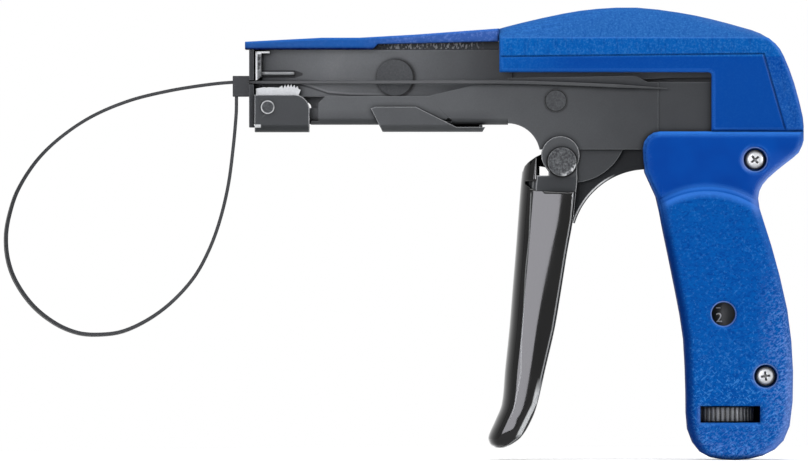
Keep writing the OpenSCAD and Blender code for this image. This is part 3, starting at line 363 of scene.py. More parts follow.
def pin_tone(m):
    """Trigger pin mottled, with a bright patch low right; pawl pin with a bright ring."""
    # A bright patch low right of the trigger pin's head
    bright_patch = m.times(m.fit(m.away(*TRIGGER_PIN), 3.4, 4.0), m.fit(m.away(104.2, -29), 4.2, 2.4),
                     m.fit(m.noise(1100, 2, 0.6), 0.42, 0.6))
    mottled = m.mix(bright_patch, spotted(m, 88, 0.62), grey(205))
    ring = m.times(m.fit(m.away(*PAWL_PIN), 1.75, 1.95), m.fit(m.noise(500, 2, 0.5), 0.3, 0.55, 0.3, 0.7))
    ring = m.mix(ring, spotted(m, 70, 0.8), grey(225))
    return m.mix(m.fit(m.x, 50, 51), ring, mottled)


def knob_tone(m):
    """Knurls with a painted highlight on their crests and painted shade in their grooves, by the distance from the
    knob's axis.
    """
    out = m.length(m.calc("SUBTRACT", m.x, KNOB_X), m.y)
    return m.mix(m.fit(out, 9.05, 9.35), grey(26), grey(112))


def strap_tone(m):
    """Lighter inside the barrel than in the loop: painted light."""
    return m.mix(m.fit(m.x, 0, 6), grey(36), grey(64))


frame_steel = steel("frame_steel", channel_tone, rim_highlight=140, share=0.45)
dark_steel = steel("dark_steel", grey(48), rim_highlight=120)
carrier_steel = steel("carrier_steel", carrier_tone, rim_highlight=215, share=0.8, width=0.46)
clip_steel = steel("clip_steel", grey(76), rim_highlight=190, share=0.7, width=0.4)
bracket_steel = steel("bracket_steel", grey(58))
arm_steel = steel("arm_steel", arm_tone, rim_highlight=200, share=0.75, width=0.44)
lever_steel = steel("lever_steel", lever_tone, rim_highlight=130)
guide_steel = steel("guide_steel", guide_tone)
pivot_steel = steel("pivot_steel", pivot_tone, rim_highlight=130, share=0.4, corner_shade=0.15)
pin_steel = steel("pin_steel", pin_tone, rim_highlight=170, share=0.35, corner_shade=0.15)
inner_steel = steel("inner_steel", grey(96))
rod_steel = steel("rod_steel", rod_tone, rim_highlight=225, share=0.1, corner_shade=0.25)
blade_steel = steel("blade_steel", blade_tone, rim_highlight=200, share=0.3)
bright_zinc = steel("bright_zinc", grey(205), rim_highlight=245, corner_shade=0.25, rough=(0.3, 0.45), metal=0.3)
pawl_zinc = steel("pawl_zinc", grey(202), rim_highlight=235, rough=(0.35, 0.5), metal=0.15)
spring_steel = steel("spring_steel", grey(165), rim_highlight=165, corner_shade=0.4, rough=(0.22, 0.34), metal=0.7)
link_black = steel("link_black", link_tone, rim_highlight=110, share=0.4, metal=0.05, spec=0.1)
knob_black = steel("knob_black", knob_tone, rim_highlight=190, share=0.4, metal=0.05, spec=0.3)
# Painted shade: a dark steel for the clip's inner face
shaded_web = steel("shaded_web", grey(24), rim_highlight=60, share=0.2, spec=0.05)
# Painted shade: the handle's blue made dark for the lip inside the handle
shaded_blue = plastic("shaded_blue", srgb(3, 12, 30), srgb(6, 20, 46), rough=0.5, spec=0.05)
drum_black = plastic("drum_black", grey(76), grey(90), rough=0.5, pits=0.1, spec=0.2)
tie_nylon = plastic("tie_nylon", grey(36), grey(54), rough=0.42, pits=0.15, spec=0.2)
strap_nylon = plastic("strap_nylon", strap_tone, grey(76), rough=0.42, pits=0.15, spec=0.2)
mark_grey = plastic("mark_grey", (0.8, 0.8, 0.82), (0.95, 0.95, 0.97), rough=0.6, spec=0.1)


def make_trigger(name):
    """Glossy black, with a painted highlight along the rear edge that widens near the tip, and a painted highlight
    along a faint crease in front.
    """
    m = Nodes(name)
    cloud = m.noise(70, 2, 0.5)
    tone = m.mix(m.fit(cloud, 0.3, 0.7), srgb(4, 4, 5), srgb(9, 9, 10))
    near = m.fit(m.y, -4, -5)
    along = m.fit(m.z, -117, -27)
    # The two ramps give x as a share of the span from 80 to 110
    back = m.ramp(along, (0, 0.13), (0.03, 0.25), (0.15, 0.427), (0.27, 0.513), (0.42, 0.617), (0.56, 0.687),
                  (0.69, 0.75), (0.81, 0.813), (0.94, 0.85), (1, 0.863))
    front = m.ramp(along, (0, 0.02), (0.14, 0.183), (0.26, 0.25), (0.37, 0.257), (0.5, 0.283), (0.63, 0.303),
                   (0.745, 0.34), (0.91, 0.36))
    # Painted highlight along the rear edge on the near side, widening near the tip
    inset = m.calc("SUBTRACT", m.linear(back, 30, 80), m.x)
    line = m.band(inset, 0.55, 0.7, 1.0, 1.15)
    wide = m.times(m.band(inset, 0.15, 0.3, 1.5, 1.9), m.band(m.z, -95, -100, -113, -114.5))
    tone = m.mix(m.times(m.most(m.times(line, 0.5), wide), near), tone, grey(205))
    # Painted highlight along a faint crease in front, on the near side
    crease = m.band(m.calc("SUBTRACT", m.x, m.linear(front, 30, 80)), -0.25, -0.1, 0.1, 0.25)
    ends = m.times(m.fit(m.z, -35, -36, 0, 0.35), m.fit(m.z, -109, -105))
    tone = m.mix(m.times(crease, near, ends), tone, grey(190))
    m.set(tone, m.fit(cloud, 0.3, 0.7, 0.06, 0.09), 0.26)
    m.bump(cloud, 0.03, 0.0002)
    return m


def finish_blue(m, tone, amount, height, pits, round_by, lift, dark=0, heel_highlight=None, line=None, low=0.4):
    """Rounded edges, painted light where they face up, painted shade where they face the nose, a painted highlight
    where they face the heel and along a line inside them, painted shade in corners, and the moulded grain.
    """
    right, up, level = m.rounded(round_by)
    # Painted light on edges that face up
    tone = m.mix(m.times(m.fit(up, 0.1, 0.5), lift), tone, blue(50, 120, 214))
    # Painted shade on edges that face the nose
    if dark:
        tone = m.mix(m.times(m.fit(right, -0.06, -0.4), dark), tone, blue(0, 44, 108))
    # Painted highlight on edges that face the heel
    if heel_highlight is not None:
        tone = m.mix(m.times(m.fit(right, 0.1, 0.45), heel_highlight), tone, blue(134, 160, 230))
    # Painted highlight along a line just inside the edges
    if line is not None:
        edge = m.times(m.fit(level, 0.998, 0.985), m.fit(level, 0.9, 0.96))
        tone = m.mix(m.times(edge, line), tone, blue(64, 130, 226))
    # Painted shade in corners
    shade = m.open_air(2.2, low)
    m.set(m.mix(1, tone, shade, "MULTIPLY"), m.fit(amount, 0, 1, 0.4, 0.55), 0.012)
    m.bump(height, m.fit(amount, 0, 1, 0.04, pits), 0.0001)
    return m


def make_cover(name):
    """Grained crown and back over a plain side."""
    m = Nodes(name)
    grain = m.noise(1500, 3, 0.7)
    brushed = m.noise(500, 3, 0.7, (2.2, 1, 0.5))
    crown = m.fit(m.z, 14.2, 14.7)
    back = m.fit(m.linear(m.z, 0.322, m.x), 168.4, 168.9)
    low = m.fit(m.z, 8.3, 8.6)
    front = m.times(m.fit(m.x, 105, 82), 0.5)
    tone = m.mix(low, blue(0, 73, 158), blue(0, 90, 172))
    tone = m.mix(front, tone, blue(16, 100, 184))
    tone = m.mix(crown, tone, blue(40, 90, 156))
    tone = m.mix(m.times(back, m.fit(m.z, 6, 0)), tone, blue(28, 80, 162))
    amount = m.most(low, back, front)
    tone = m.mix(m.times(m.fit(grain, 0.46, 0.66), m.fit(amount, 0, 1, 0.04, 0.34)), tone, blue(74, 142, 212))
    tone = m.mix(m.times(m.fit(brushed, 0.5, 0.36), m.fit(amount, 0, 1, 0.04, 0.36)), tone, blue(8, 56, 132))
    # Painted highlight along the crest
    crest_highlight = m.band(m.z, 14.2, 14.35, 14.6, 14.8)
    tone = m.mix(m.times(crest_highlight, 0.14), tone, blue(100, 150, 222))
    heel = m.fit(m.z, -16, -4, 0, 0.2)
    return finish_blue(m, tone, amount, grain, 0.6, 0.8, 0.12, heel_highlight=heel, line=0.45, low=0.58)


def make_strip(name):
    """Plain in front, grained towards the cover."""
    m = Nodes(name)
    grain = m.noise(900, 4, 0.75)
    back = m.fit(m.x, 36, 50)
    tone = m.mix(m.fit(m.z, 10.5, 12), blue(20, 48, 98), blue(38, 90, 166))
    tone = m.mix(m.times(m.fit(m.x, 30, 4), 0.5), tone, blue(46, 84, 150))
    tone = m.mix(back, tone, blue(58, 94, 168))
    tone = m.mix(m.times(m.fit(m.z, 11.4, 11.0), m.fit(m.x, 46, 40)), tone, blue(4, 28, 76))
    tone = m.mix(m.times(m.fit(grain, 0.48, 0.68), m.fit(back, 0, 1, 0.08, 0.6)), tone, blue(112, 142, 214))
    return finish_blue(m, tone, back, grain, 0.6, 0.5, 0.3)


def make_grip(name):
    """A plain upper part, and below it the palm with its bead and its leather-like grain; painted highlights on the
    bead, round the window and the screws, and on edges that face the heel.
    """
    m = Nodes(name)
    reach = m.away(*PALM)
    palm = m.most(m.calc("LESS_THAN", reach, PALM_R), m.fit(m.z, -62.8, -63.8))
    wrinkle = m.noise(480, 5, 0.75, (1, 1, 1.7), 1.6)
    leather = m.linear(m.cells(800, 0.4), 0.7, wrinkle)
    tone = m.mix(m.fit(wrinkle, 0.36, 0.66), blue(0, 70, 150), blue(0, 96, 180))
    # Pale dots and crossed strokes, more of them towards the foot, the heel and the front
    side = m.most(m.fit(m.z, -62, -112), m.fit(m.x, 160, 178), m.fit(m.linear(m.z, 0.2, m.x), 125, 118))
    side = m.times(side, m.fit(m.noise(110, 2, 0.5), 0.3, 0.6))
    dots = m.times(m.fit(m.noise(1400, 3, 0.7), 0.56, 0.64), m.fit(side, 0, 1, 0.25, 0.8))
    hatch = m.most(*(m.noise(1150, 2, 0.6, (0.4, 1, 1.3, turn)) for turn in (38, -48)))
    lines = m.times(m.fit(hatch, 0.6, 0.67), m.fit(m.z, -78, -98, 0, 0.55))
    tone = m.mix(m.most(dots, lines), tone, blue(72, 146, 222))
    worn = m.most(m.times(m.fit(m.x, 163, 177), m.fit(m.z, -52, -76)), m.times(m.fit(m.z, -106, -121), 0.5))
    worn = m.times(worn, m.fit(m.noise(1500, 3, 0.7, (0.6, 1, 1.2, 30)), 0.47, 0.6, 0, 0.75))
    tone = m.mix(worn, tone, blue(128, 164, 236))
    plain = m.mix(m.fit(m.noise(80, 2, 0.5), 0.3, 0.7), blue(0, 66, 154), blue(2, 76, 168))
    neck = m.times(m.fit(m.x, 160, 172), m.fit(m.z, -21, -27))
    plain = m.mix(m.times(neck, 0.25), plain, blue(70, 112, 205))
    tone = m.mix(palm, plain, tone)
    # Painted highlight band just inside the bead, where the palm's shoulder faces up
    bead_highlight = m.times(m.band(reach, PALM_R + 0.1, PALM_R - 0.2, PALM_R - 0.8, PALM_R - 2.6), m.fit(m.z, -46, -39))
    tone = m.mix(m.times(bead_highlight, 0.7), tone, blue(62, 126, 222))
    # Painted highlight rings round the window and the screws, on the near side
    for x, z, r in ((*WINDOW, 3.8), *((x, z, 3.7) for x, z, _ in SCREWS)):
        rim_highlight = m.times(m.band(m.away(x, z), r + 0.45, r + 0.3, r + 0.1, r), m.fit(m.y, 0, -1))
        tone = m.mix(m.times(rim_highlight, 0.5), tone, blue(150, 172, 226))
    # Strength by height of the painted highlight on edges that face the heel
    heel_highlight = m.ramp(m.fit(m.z, -122, -18), (0, 0.5), (0.25, 0.3), (0.4, 0.06), (0.75, 0.06), (0.84, 0.9), (0.94, 0.9),
                    (1, 0.1))
    # Strength of the painted highlight line inside the edges
    line = m.fit(m.calc("SUBTRACT", m.z, m.times(m.x, 0.2)), -64, -58, 0.35, 0.75)
    line = m.times(m.fit(m.z, -50, -40), line)
    return finish_blue(m, tone, palm, leather, 0.9, 2.4, 0.8, 0.85, heel_highlight, line)


trigger_black = make_trigger("trigger_black")
cover_blue = make_cover("cover_blue")
strip_blue = make_strip("strip_blue")
handle_blue = make_grip("handle_blue")

LOOKS = {
    frame_steel: "frame_channel",
    dark_steel: "nose_plate",
    guide_steel: "tie_guide_plate",
    clip_steel: "saddle_clip",
    bracket_steel: "trigger_bracket",
    arm_steel: "trigger_arm",
    carrier_steel: "pawl_carrier",
    lever_steel: "cutter_lever",
    pivot_steel: "cutter_pivot_pin frame_rivet",
    pin_steel: "trigger_pin pawl_pin",
    rod_steel: "guide_rod",
    inner_steel: "fulcrum_pin spring_seat link_pin drive_lever lever_pins pull_bar trip_yoke tension_rod",
    blade_steel: "cutter_blade",
    bright_zinc: "grip_screws",
    pawl_zinc: "pawl",
    spring_steel: "return_spring pawl_spring tension_spring",
    trigger_black: "trigger_sleeve",
    link_black: "push_link",
    drum_black: "tension_sleeve",
    knob_black: "tension_knob",
    tie_nylon: "tie_head tie_strap",
    cover_blue: "top_cover",
    strip_blue: "barrel_strip",
    handle_blue: "grip_left grip_right",
}
for look, names in LOOKS.items():
    for name in names.split():
        nodes[name].data.materials.clear()
        nodes[name].data.materials.append(look.mat)


# Smooth rims and softened edges


def smooth_group():
    """Joins the corners of a CAD mesh and shades it smooth up to an angle."""
    tree = bpy.data.node_groups.new("smooth_by_angle", "GeometryNodeTree")
    tree.interface.new_socket("Geometry", in_out="INPUT", socket_type="NodeSocketGeometry")
    angle = tree.interface.new_socket("Angle", in_out="INPUT", socket_type="NodeSocketFloat")
    angle.default_value = 0.6
    tree.interface.new_socket("Geometry", in_out="OUTPUT", socket_type="NodeSocketGeometry")
    start = add(tree, "NodeGroupInput")
    bend = add(tree, "GeometryNodeInputMeshEdgeAngle").outputs["Unsigned Angle"]
    above = add(tree, "FunctionNodeCompare", {0: bend, 1: start.outputs["Angle"]}).outputs[0]
    mesh = start.outputs["Geometry"]
    for kind, inputs, values in (
        ("GeometryNodeRemoveAttribute", {"Name": "custom_normal"}, {}),
        ("GeometryNodeMergeByDistance", {"Distance": 2e-6}, {}),
        ("GeometryNodeSetShadeSmooth", {}, {}),
        ("GeometryNodeSetShadeSmooth", {"Shade Smooth": False, "Selection": above}, {"domain": "EDGE"}),
    ):
        mesh = add(tree, kind, {"Geometry": mesh, **inputs}, **values).outputs["Geometry"]
    add(tree, "NodeGroupOutput", {"Geometry": mesh})
    return tree, angle.identifier


SMOOTH, ANGLE = smooth_group()


def soften(obj, angle=32, width=0.12, segments=2):
    """Smooth shading up to an angle in degrees, and the sharper edges bevelled where a width is given."""
    join = obj.modifiers.new("smooth", "NODES")
    join.node_group = SMOOTH
    join[ANGLE] = math.radians(angle)
    if width:
        edge = obj.modifiers.new("edges", "BEVEL")
        edge.limit_method = "ANGLE"
        edge.angle_limit = math.radians(angle)
        edge.width = width * MM
        edge.segments = segments
        edge.miter_outer = "MITER_ARC"
    even = obj.modifiers.new("even", "WEIGHTED_NORMAL")
    even.keep_sharp = False
    even.weight = 50


for name, obj in nodes.items():
    if name in ("top_cover", "grip_left", "grip_right", "barrel_strip"):
        soften(obj, width=0.2)
    elif name == "pawl_spring":
        soften(obj, 70, 0)
    elif name not in ("tie_strap", "trigger_sleeve", "grip_screws", "pawl", "return_spring", "tension_spring"):
        soften(obj)


# Own pieces

BOX_FACES = ((0, 1, 2, 3), (7, 6, 5, 4), (0, 4, 5, 1), (1, 5, 6, 2), (2, 6, 7, 3), (3, 7, 4, 0))


def new_object(name, points, faces, smooth=False):
    """A mesh from points in mm, with its faces turned outwards."""
    mesh = bpy.data.meshes.new(name)
    mesh.from_pydata([tuple(c * MM for c in p) for p in points], [], faces)
    work = bmesh.new()
    work.from_mesh(mesh)
    bmesh.ops.recalc_face_normals(work, faces=work.faces)
    for face in work.faces:
        face.smooth = smooth
    work.to_mesh(mesh)
    work.free()
    obj = bpy.data.objects.new(name, mesh)
    bpy.context.scene.collection.objects.link(obj)
    return obj


def mesh_piece(name, points, faces, look, body, slot, replaced=None, smooth=True):
    obj = new_object(name, points, faces, smooth)
    obj.data.materials.append(look.mat)
    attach(obj, body)
    if replaced:
        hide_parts(replaced)
    return obj


def cut(obj, points, faces):
    """Takes a closed form out of a piece."""
    cutter = new_object("cut", points, faces)
    step = obj.modifiers.new("cut", "BOOLEAN")
    step.operation = "DIFFERENCE"
    step.solver = "EXACT"
    step.object = cutter
    bpy.context.view_layer.update()
    ready = bpy.data.meshes.new_from_object(obj.evaluated_get(bpy.context.evaluated_depsgraph_get()))
    obj.modifiers.remove(step)
    obj.data = ready
    bpy.data.objects.remove(cutter)


def prism(loop, y0, y1):
    """Points and faces of an outline in the side view, drawn out from y0 to y1."""
    n = len(loop)
    points = [(x, y, z) for y in (y0, y1) for x, z in loop]
    faces = [tuple(range(n))[::-1], tuple(range(n, 2 * n))]
    return points, faces + [(i, (i + 1) % n, n + (i + 1) % n, n + i) for i in range(n)]


def lofted(rings):
    """Points and faces of a skin over closed rings of equal count, with flat ends."""
    n = len(rings[0])
    points = [p for ring in rings for p in ring]
    faces = []
    for k in range(len(rings) - 1):
        for i in range(n):
            j = (i + 1) % n
            faces.append((k * n + i, k * n + j, (k + 1) * n + j, (k + 1) * n + i))
    last = (len(rings) - 1) * n
    return points, faces + [tuple(range(n))[::-1], tuple(last + i for i in range(n))]


def spline(rows, t):
    """Catmull-Rom value at t of rows whose first entry is the parameter, in rising order."""
    if t <= rows[0][0]:
        return list(rows[0][1:])
    if t >= rows[-1][0]:
        return list(rows[-1][1:])
    k = max(i for i in range(len(rows) - 1) if rows[i][0] <= t)
    a, b = rows[k], rows[k + 1]
    before = rows[k - 1] if k else a
    after = rows[k + 2] if k + 2 < len(rows) else b
    span = b[0] - a[0]
    u = (t - a[0]) / span
    out = []
    for i in range(1, len(a)):
        ma = (b[i] - before[i]) / (b[0] - before[0]) * span
        mb = (after[i] - a[i]) / (after[0] - a[0]) * span
        out.append((2 * u**3 - 3 * u**2 + 1) * a[i] + (u**3 - 2 * u**2 + u) * ma
                   + (3 * u**2 - 2 * u**3) * b[i] + (u**3 - u**2) * mb)
    return out


# Trigger sleeve: z, front x, back x, half width, share of the depth where its side is widest
SLEEVE = [
    (-117.6, 79.4, 82.2, 5.0, 0.7), (-116.6, 77.8, 84.4, 8.4, 0.7), (-114.2, 77.15, 87.6, 9.9, 0.68),
    (-109, 79.3, 90.8, 10.2, 0.67), (-103.7, 81.4, 92.8, 10.3, 0.69), (-92.5, 82.5, 95.4, 10.3, 0.71),
    (-79, 83.9, 98.5, 10.3, 0.68), (-66.6, 84.9, 100.6, 10.3, 0.73), (-54.6, 85.9, 102.5, 10.3, 0.81),
    (-43.9, 86.7, 104.4, 10.3, 0.87), (-32.6, 87.6, 105.5, 10.3, 0.89), (-26.2, 88.3, 105.9, 10.3, 0.89),
    (-23, 88.7, 105.9, 10.3, 0.89),
]
TIP, TOP = SLEEVE[0][0], SLEEVE[-1][0]
WALL = 1.1
NOSE, NOSE_END = 4.4, math.radians(82)  # Radius of the rounded front edge and the angle at which it ends
LEAN = 0.22  # How much the crowned side leans in towards the front
BACK_R = 1.8


def sleeve_side(front, back, half, peak):
    """Outer line of one side, from the middle of the nose to the back edge, as (x, y)."""
    nose = min(NOSE, (back - front) * 0.4)
    x0 = front + nose * (1 - math.cos(NOSE_END))
    xp = front + (back - front) * peak
    lean = LEAN * min(1, half / 9)
    y0 = half - lean * (xp - x0) / 2
    line = []
    for k in range(13):
        a = NOSE_END * k / 12
        line.append((front + nose * (1 - math.cos(a)), y0 * math.sin(a) / math.sin(NOSE_END)))
    for k in range(1, 13):
        x = x0 + (xp - x0) * k / 12
        line.append((x, half - lean * (xp - x) ** 2 / (2 * (xp - x0))))
    x1 = back - BACK_R
    for k in range(1, 7):
        v = k / 6
        line.append((xp + (x1 - xp) * v, half - 0.12 * (x1 - xp) * v * v))
    y1 = line[-1][1]
    for k in range(1, 7):
        a = math.radians(15 * k)
        line.append((x1 + BACK_R * math.sin(a), y1 - BACK_R * (1 - math.cos(a))))
    return line


def sleeve_ring(z):
    """Outer and inner line of the sleeve at a height. Towards the tip the inner one runs out."""
    front, back, half, peak = spline(SLEEVE, z)
    side = sleeve_side(front, back, half, peak)
    nose = min(NOSE, (back - front) * 0.42)
    depth = max(0.3, min(1, (z - TIP) / 4))
    wide = max(0.4, half - WALL - 0.7)
    inner = []
    for k in range(13):
        a = math.radians(90 * k / 12)
        x = front + WALL + (nose - 0.4) * (1 - math.cos(a)) + (1 - depth) * (back - front - 2 * WALL) * 0.8
        inner.append((x, wide * math.sin(a)))
    inner.append((back - 0.3, wide))
    left = [(x, -y) for x, y in side]
    ring = left[::-1] + side[1:] + inner[::-1] + [(x, -y) for x, y in inner[1:]]
    return [(x, y, z) for x, y in ring]


def top_points(*shares):
    """Points at the sleeve's top, from shares of its depth behind the shoulder and of the shoulder's height."""
    return [(88.3 + sx * 17.6, -26.2 + sz * 9.3) for sx, sz in shares]


def make_sleeve():
    """A crowned skin over the trigger's depth, cut open at the top: near cheek, taller far cheek, hole, shoulder."""
    levels = [TOP - k for k in range(90)] + [-113 - k * 0.35 for k in range(14)]
    levels = [z for z in levels if z > TIP] + [TIP]
    obj = mesh_piece("sleeve_skin", *lofted([sleeve_ring(z) for z in levels]), trigger_black, "trigger",
                     "trigger_black", "trigger_sleeve")
    foot = [(0.034, -0.645), (0.119, -0.839), (0.261, -0.935), (0.824, -1), (1.1, -0.94), (1.1, 0.9)]
    near = top_points(*foot, (0.239, 0.9), (0.239, -0.591), (0.034, -0.591))
    far = top_points(*foot, (0.49, 0.9), (0.49, -0.591), (0.034, -0.591))
    hole = [(93.7, -29.9), (96.6, -29.9), (96.6, -28.6), (95.6, -27.2), (93.7, -26.9)]
    slope = top_points((-0.4, -0.25), (-0.006, -0.258), (0.028, -0.075), (0.097, 0.065), (0.239, 0.258),
                       (0.4, 0.4), (0.55, 0.56), (0.55, 0.9), (-0.4, 0.9))
    for loop, y0, y1 in ((near, -14, 7), (far, 6.9, 14), (hole, 6.9, 14), (slope, -14, 14)):
        cut(obj, *prism(loop, y0, y1))


make_sleeve()

# Route of the strap's middle line, from the head round the loop and through the nose to the tip
ROUTE = [
    (-4.1, -3.4, -4.5), (-4.2, -3.4, -10), (-5.2, -3.4, -21.2), (-6.8, -3.4, -33.2), (-9.5, -3.4, -44.5),
    (-13, -3.4, -54), (-17.8, -3.4, -62.7), (-25, -3.4, -70.7), (-32.7, -3.4, -76.4), (-41, -3.4, -80.2),
    (-48.8, -3.4, -81.2), (-55.4, -3.4, -80.6), (-62.5, -3.4, -77.6), (-69.7, -3.4, -71.9),
    (-75.2, -3.4, -64.2), (-77.8, -3.4, -57), (-78.4, -3.4, -49.3), (-77.2, -3.4, -42.1),
    (-74.5, -3.4, -34.4), (-68.5, -3.4, -25.1), (-60.8, -3.4, -17.6), (-50.6, -3.4, -10.8),
    (-38.7, -3.4, -5.8), (-26.8, -3.4, -2.8), (-14.8, -3.4, -0.8), (-5.3, -3.4, 0.15), (4, -3.4, 0.15),
    (12, -3.6, 0.15), (40, -6.6, 0.15), (72, -10, 0.15), (90, -10, 0), (112, -10, -0.8), (134.7, -10, -1.9),
]
TIE_W, TIE_T = 3.6, 1.05
TIP_TAPER = 16  # Length over which the strap gets thinner and narrower towards its tip
TOOTH = 0.16


def make_strap():
    """The strap's section along the route: raised rims outside, teeth inside, a slight twist at the loop's end."""
    along = [0]
    for a, b in zip(ROUTE, ROUTE[1:]):
        along.append(along[-1] + (Vector(b) - Vector(a)).length)
    table = [(s, *p) for s, p in zip(along, ROUTE)]
    total = along[-1]
    count = int(total / 0.4)
    rings = []
    for k in range(count + 1):
        s = total * k / count
        p = Vector(spline(table, s))
        q = Vector(spline(table, min(total, s + 0.3))) - Vector(spline(table, max(0, s - 0.3)))
        q.normalize()
        side = Vector((0, 1, 0))
        side = (side - q * side.dot(q)).normalized()
        out = q.cross(side)
        twist = 9.5 * math.exp(-((s - 128) / 42) ** 2)
        turn = Matrix.Rotation(math.radians(twist), 3, q)
        side, out = turn @ side, turn @ out
        left = (total - s) / TIP_TAPER
        fade = min(1, 0.3 + 0.7 * left)
        w = TIE_W / 2 * min(1, 0.45 + 0.55 * left)
        t = TIE_T / 2 * fade
        tooth = TOOTH * (k % 3) / 2 if 14 < s < total - 24 else 0
        r = 0.12 * fade
        profile = [
            (-w, -t + r), (-w, t - r), (-w + r, t), (-w * 0.62, t), (-w * 0.55, t - 0.05), (w * 0.55, t - 0.05),
            (w * 0.62, t), (w - r, t), (w, t - r), (w, -t + r), (w - r, -t), (w * 0.6, -t),
            (w * 0.56, -t + tooth + 0.02), (-w * 0.56, -t + tooth + 0.02), (-w * 0.6, -t), (-w + r, -t),
        ]
        rings.append([tuple(p + side * a + out * b) for a, b in profile])
    mesh_piece("strap", *lofted(rings), strap_nylon, "tie", "tie_nylon", "tie_strap", smooth=False)


make_strap()


def make_pawl():
    """The CAD outline, with its teeth on the rounded crest that the photograph shows."""
    outline = [(2.2, -1.84), (2.2, -8.39), (4, -10.89), (9.7, -11.2), (12.4, -8.91), (15.7, -4.54), (16.6, -2.26)]
    for k in range(6):
        x = 15.9 - k
        bulge = 0.72 * ((x - 13.2) / 2.9) ** 2
        outline += [(x, -1.45 - bulge), (x - 0.28, -0.42 - bulge)]
    outline += [(9.6, -1.6), (6.2, -1.45), (5.6, -1.6), (5.0, -1.45)]
    obj = mesh_piece("pawl_body", *prism(outline, -5.6, -1.4), pawl_zinc, "pawl", "bright_zinc", "pawl")
    soften(obj, 30, 0.04, 1)


make_pawl()


def make_lip():
    """A lip inside the far half of the handle, round the knob's slot, coloured a dark blue as painted shade."""
    points, faces = [], []
    for y in (9.45, 10.2):
        for x0, z0, x1, z1 in ((144.2, -111, 166.2, -103.2), (146.2, -109.0, 161, -104.85)):
            points += [(x0, y, z0), (x1, y, z0), (x1, y, z1), (x0, y, z1)]
    for k in range(4):
        j = (k + 1) % 4
        faces += [(k, j, 4 + j, 4 + k), (8 + k, 12 + k, 12 + j, 8 + j)]
        faces += [(k, 8 + k, 8 + j, j), (4 + k, 4 + j, 12 + j, 12 + k)]
    mesh_piece("slot_lip", points, faces, shaded_blue, "frame", "handle_blue", smooth=False)


make_lip()


def box_loop(x0, z0, x1, z1):
    return [(x0, z0), (x1, z0), (x1, z1), (x0, z1)]


# Inner face of the clip's tail, which closes the gap under the barrel, coloured dark as painted shade
mesh_piece("clip_web", *prism(box_loop(64.8, -14.8, 75.0, -12.9), 5.6, 6.6), shaded_web, "frame", "frame_steel",
           smooth=False)

# Screws: radius and depth behind the head's crown, then radius and y of the shank
HEAD_Y = -11.1
HEAD = ((0, 0), (1.2, 0.02), (2.1, 0.12), (2.7, 0.35), (3.02, 0.75), (3.1, 1.1), (3.1, 2.0), (1.5, 2.02))
SHANK = ((1.5, 7.0), (1.2, 7.5), (0, 7.5))
SIDES = 48


def make_screws():
    """Domed heads on a shank, each with a cross that narrows inwards."""
    profile = [(r, HEAD_Y + y) for r, y in HEAD] + list(SHANK)
    points, faces = [], []
    for x, z, _ in SCREWS:
        rings = []
        for r, y in profile:
            r = max(r, 0.001)
            turns = (2 * math.pi * k / SIDES for k in range(SIDES))
            rings.append([(x + r * math.cos(a), y, z + r * math.sin(a)) for a in turns])
        more, skin = lofted(rings)
        faces += [tuple(len(points) + i for i in face) for face in skin]
        points += more
    obj = mesh_piece("screws", points, faces, bright_zinc, "frame", "bright_zinc", "grip_screws")
    for x, z, turn in SCREWS:
        for extra in (0, 90):
            a = math.radians(turn + extra)
            corners = []
            for y, wide, half in ((HEAD_Y - 0.5, 1.95, 0.42), (HEAD_Y + 1.3, 0.8, 0.28)):
                for u, v in box_loop(-wide, -half, wide, half):
                    corners.append((x + u * math.cos(a) - v * math.sin(a), y, z + u * math.sin(a) + v * math.cos(a)))
            cut(obj, corners, BOX_FACES)
    soften(obj, 40, 0.06, 2)


make_screws()

# The 2 in the window, and the lead of the setting between a number and the tick beside it
MARK_X, MARK_Z = 151.4, -75.8
LEAD = 3.3


def make_marks():
    """Setting marks on the tension sleeve: a number every other turn of the knob, a tick between."""
    points, faces = [], []
    for k, text in enumerate("1234"):
        curve = bpy.data.curves.new("mark_" + text, "FONT")
        curve.body = text
        curve.size = 4.3 * MM
        curve.align_x = "CENTER"
        curve.align_y = "CENTER"
        curve.extrude = 0.04 * MM
        curve.materials.append(mark_grey.mat)
        obj = bpy.data.objects.new("mark_" + text, curve)
        bpy.context.scene.collection.objects.link(obj)
        obj.location = Vector((MARK_X, -6.42, MARK_Z + LEAD * 2 * (1 - k))) * MM
        obj.rotation_euler = (math.radians(90), 0, 0)
        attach(obj, "sleeve")
        z = MARK_Z + LEAD * (1 - 2 * k)
        more, skin = prism(box_loop(MARK_X - 1, z - 0.2, MARK_X + 0.5, z + 0.2), -6.46, -6.36)
        faces += [tuple(len(points) + i for i in face) for face in skin]
        points += more
    mesh_piece("mark_ticks", points, faces, mark_grey, "sleeve", "moulded_black")


make_marks()


def make_coil(name, node, axis, wire, turns, body, from_low):
    """A coil spring of the CAD again, as a mesh of its own that rides a body in place of the CAD one."""
    low, high = (v * PER_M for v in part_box(node))
    mid = (low + high) / 2
    u, v = (k for k in range(3) if k != axis)
    radius = (high[u] - low[u] - wire) / 2
    span = high[axis] - low[axis]
    steps, sides = 24 * turns, 8
    rings = []
    for k in range(steps + 1):
        a = 2 * math.pi * k / 24
        at = low[axis] + wire / 2 + (span - wire) * k / steps
        ring = []
        for j in range(sides):
            b = 2 * math.pi * j / sides
            out = radius + wire / 2 * math.cos(b)
            p = [0, 0, 0]
            p[axis] = at + wire / 2 * math.sin(b)
            p[u] = mid[u] + out * math.cos(a)
            p[v] = mid[v] + out * math.sin(a)
            ring.append(tuple(p))
        rings.append(ring)
    obj = mesh_piece(name, *lofted(rings), spring_steel, body, "spring_steel", node)
    anchor, along = [0, 0, 0], [0, 0, 0]
    anchor[axis] = (low if from_low else high)[axis] * MM
    along[axis] = 1
    tuple(along)
    tuple(anchor)
    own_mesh(obj)


